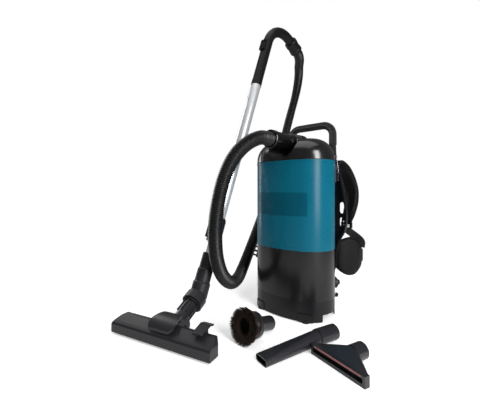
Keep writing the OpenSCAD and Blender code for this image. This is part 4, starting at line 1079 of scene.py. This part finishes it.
strips = []
for row, y in enumerate((7.9, 10.1, 39.9, 42.1)):
    line = [on_head(x, y, 0.4) for x in (-126, 126)]
    piece = run_group(curve_object(f"tuft_row_{row}", line), tuft_group, Material=nylon_bristle,
                      Seed=3 + row)
    piece.name = f"tuft_row_{row}"
    strips.append(piece)
across = (cos(head_yaw), sin(head_yaw), 0)
ahead = (-sin(head_yaw), cos(head_yaw), 0)
for y in (9, 41):
    line = [on_head(x, y, 10.8) for x in range(-129, 130, 6)]
    strips.append(strip(f"tuft_holder_{y}", line, ahead, [0.0052] * len(line), 0.0042, nylon_bristle))
for x in (-100, 100):
    line = [on_head(x, y, 11.5) for y in range(8, 43, 2)]
    strips.append(strip(f"tuft_bridge_{x + 100}", line, across, [0.01] * len(line), 0.003,
                        nylon_bristle))
for piece in strips:
    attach(piece, "brushes")
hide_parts("brush_strips")
print("tuft rows", len(strips))

# %% [markdown]
# ## Dust bag
# The bag hangs in its basket from a stiff card collar. It is a loft of soft rounded ovals
# that sags and bulges unevenly, in cream fleece.

# %% Dust bag
bag_sides, bag_square = 72, 0.82


def oval(inset):
    """The canister's plan, drawn in by inset millimetres."""
    return [(copysign(abs(c) ** bag_square, c) * (127 - inset),
             copysign(abs(s) ** bag_square, s) * (86 - inset)) for c, s in circle(bag_sides)]


levels = [(228.5, 40), (230, 22), (240, 17), (262, 15.5), (290, 17), (318, 15.2), (346, 17.5),
          (374, 15.6), (398, 18), (412, 24), (420, 38), (424, 52)]
vertices = []
for z, inset in levels:
    for k, (x, y) in enumerate(oval(inset)):
        a = 2 * pi * k / bag_sides
        crease = 0.985 + 0.012 * sin(5 * a + z / 19) + 0.006 * sin(11 * a - z / 9)
        vertices.append(at(x * crease, y * crease, z))
bag = make_object("fleece_bag", vertices, loft_faces(len(levels), bag_sides), bag_fleece)
outward(bag)
shade(bag, 180)
soft = bag.modifiers.new("soft", "SUBSURF")
soft.levels = soft.render_levels = 1
bag = baked(bag)
card_points = [at(x, y, z) for z in (424, 427) for x, y in oval(26)]
card = make_object("bag_card", card_points, loft_faces(2, bag_sides), bag_fleece)
outward(card)
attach(bag, "canister")
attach(card, "canister")
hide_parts("filter_bag")

# %% [markdown]
# ## Floor and light
# A white paper sweep, and softboxes as in a product studio. Gloss black and teal show what
# surrounds them, so the room is kept dark for their reflections and one tall softbox at the
# right draws the upright highlight. Near the feet the paper takes light and keeps the soft
# shadow, with a small lift for the camera; further out it is plain white.

# %% Floor
work = bmesh.new()
bmesh.ops.create_grid(work, x_segments=1, y_segments=1, size=8.0)
floor = object_from(work, "studio_floor")
white = (1, 1, 1, 1)
paper = bpy.data.materials.new("white studio paper")
tree = empty_tree(paper)
place = object_place(tree)
fibre = noise(tree, place, 600.0, 2.0)
tone = blend_colours(tree, fibre, hex_linear("#f4f4f4"), hex_linear("#fcfcfc"))
matt = add(tree, "ShaderNodeBsdfDiffuse", Color=tone)
rays = add(tree, "ShaderNodeLightPath")
sees = maths(tree, "MULTIPLY_ADD", rays.outputs["Is Glossy Ray"], 0.38, rays.outputs["Is Camera Ray"])
lift = add(tree, "ShaderNodeEmission", Color=white, Strength=maths(tree, "MULTIPLY", sees, 0.34))
near = add(tree, "ShaderNodeAddShader", in_0=matt, in_1=lift)
far = add(tree, "ShaderNodeEmission", Color=white, Strength=sees)
away = add(tree, "ShaderNodeVectorMath", {"operation": "LENGTH"}, in_0=place)
blend = ranged(tree, away.outputs["Value"], From_Min=0.75, From_Max=1.5)
mix = add(tree, "ShaderNodeMixShader", Fac=blend, in_1=near, in_2=far)
add(tree, "ShaderNodeOutputMaterial", Surface=mix)
floor.data.materials.append(paper)


# %% Lamps and surroundings
def softbox(name, place, aim, size, power):
    data = bpy.data.lights.new(name, "AREA")
    data.shape, data.size, data.size_y, data.energy = "RECTANGLE", size[0], size[1], power
    lamp = linked(name, data)
    lamp.location = at(*place)
    lamp.rotation_euler = (at(*aim) - lamp.location).to_track_quat("-Z", "Y").to_euler()


softbox("right upright", (1328, -483, 780), (100, -58, 420), (0.5, 1.3), 27)
softbox("left strip", (-1500, -150, 800), (0, 0, 400), (0.35, 1.6), 9)
softbox("overhead", (0, -200, 2100), (0, -100, 300), (1.7, 1.4), 9)
world = bpy.data.worlds.new("studio air")
scene.world = world
tree = empty_tree(world)
rays = add(tree, "ShaderNodeLightPath")
air = add(tree, "ShaderNodeBackground", Color=white, Strength=0.42)
walls = add(tree, "ShaderNodeBackground", Color=white, Strength=0.12)
backdrop = add(tree, "ShaderNodeBackground", Color=white, Strength=1.0)
shiny = add(tree, "ShaderNodeMixShader", Fac=rays.outputs["Is Glossy Ray"], in_1=air, in_2=walls)
mix = add(tree, "ShaderNodeMixShader", Fac=rays.outputs["Is Camera Ray"], in_1=shiny, in_2=backdrop)
add(tree, "ShaderNodeOutputWorld", Surface=mix)
scene.view_settings.view_transform = "Standard"
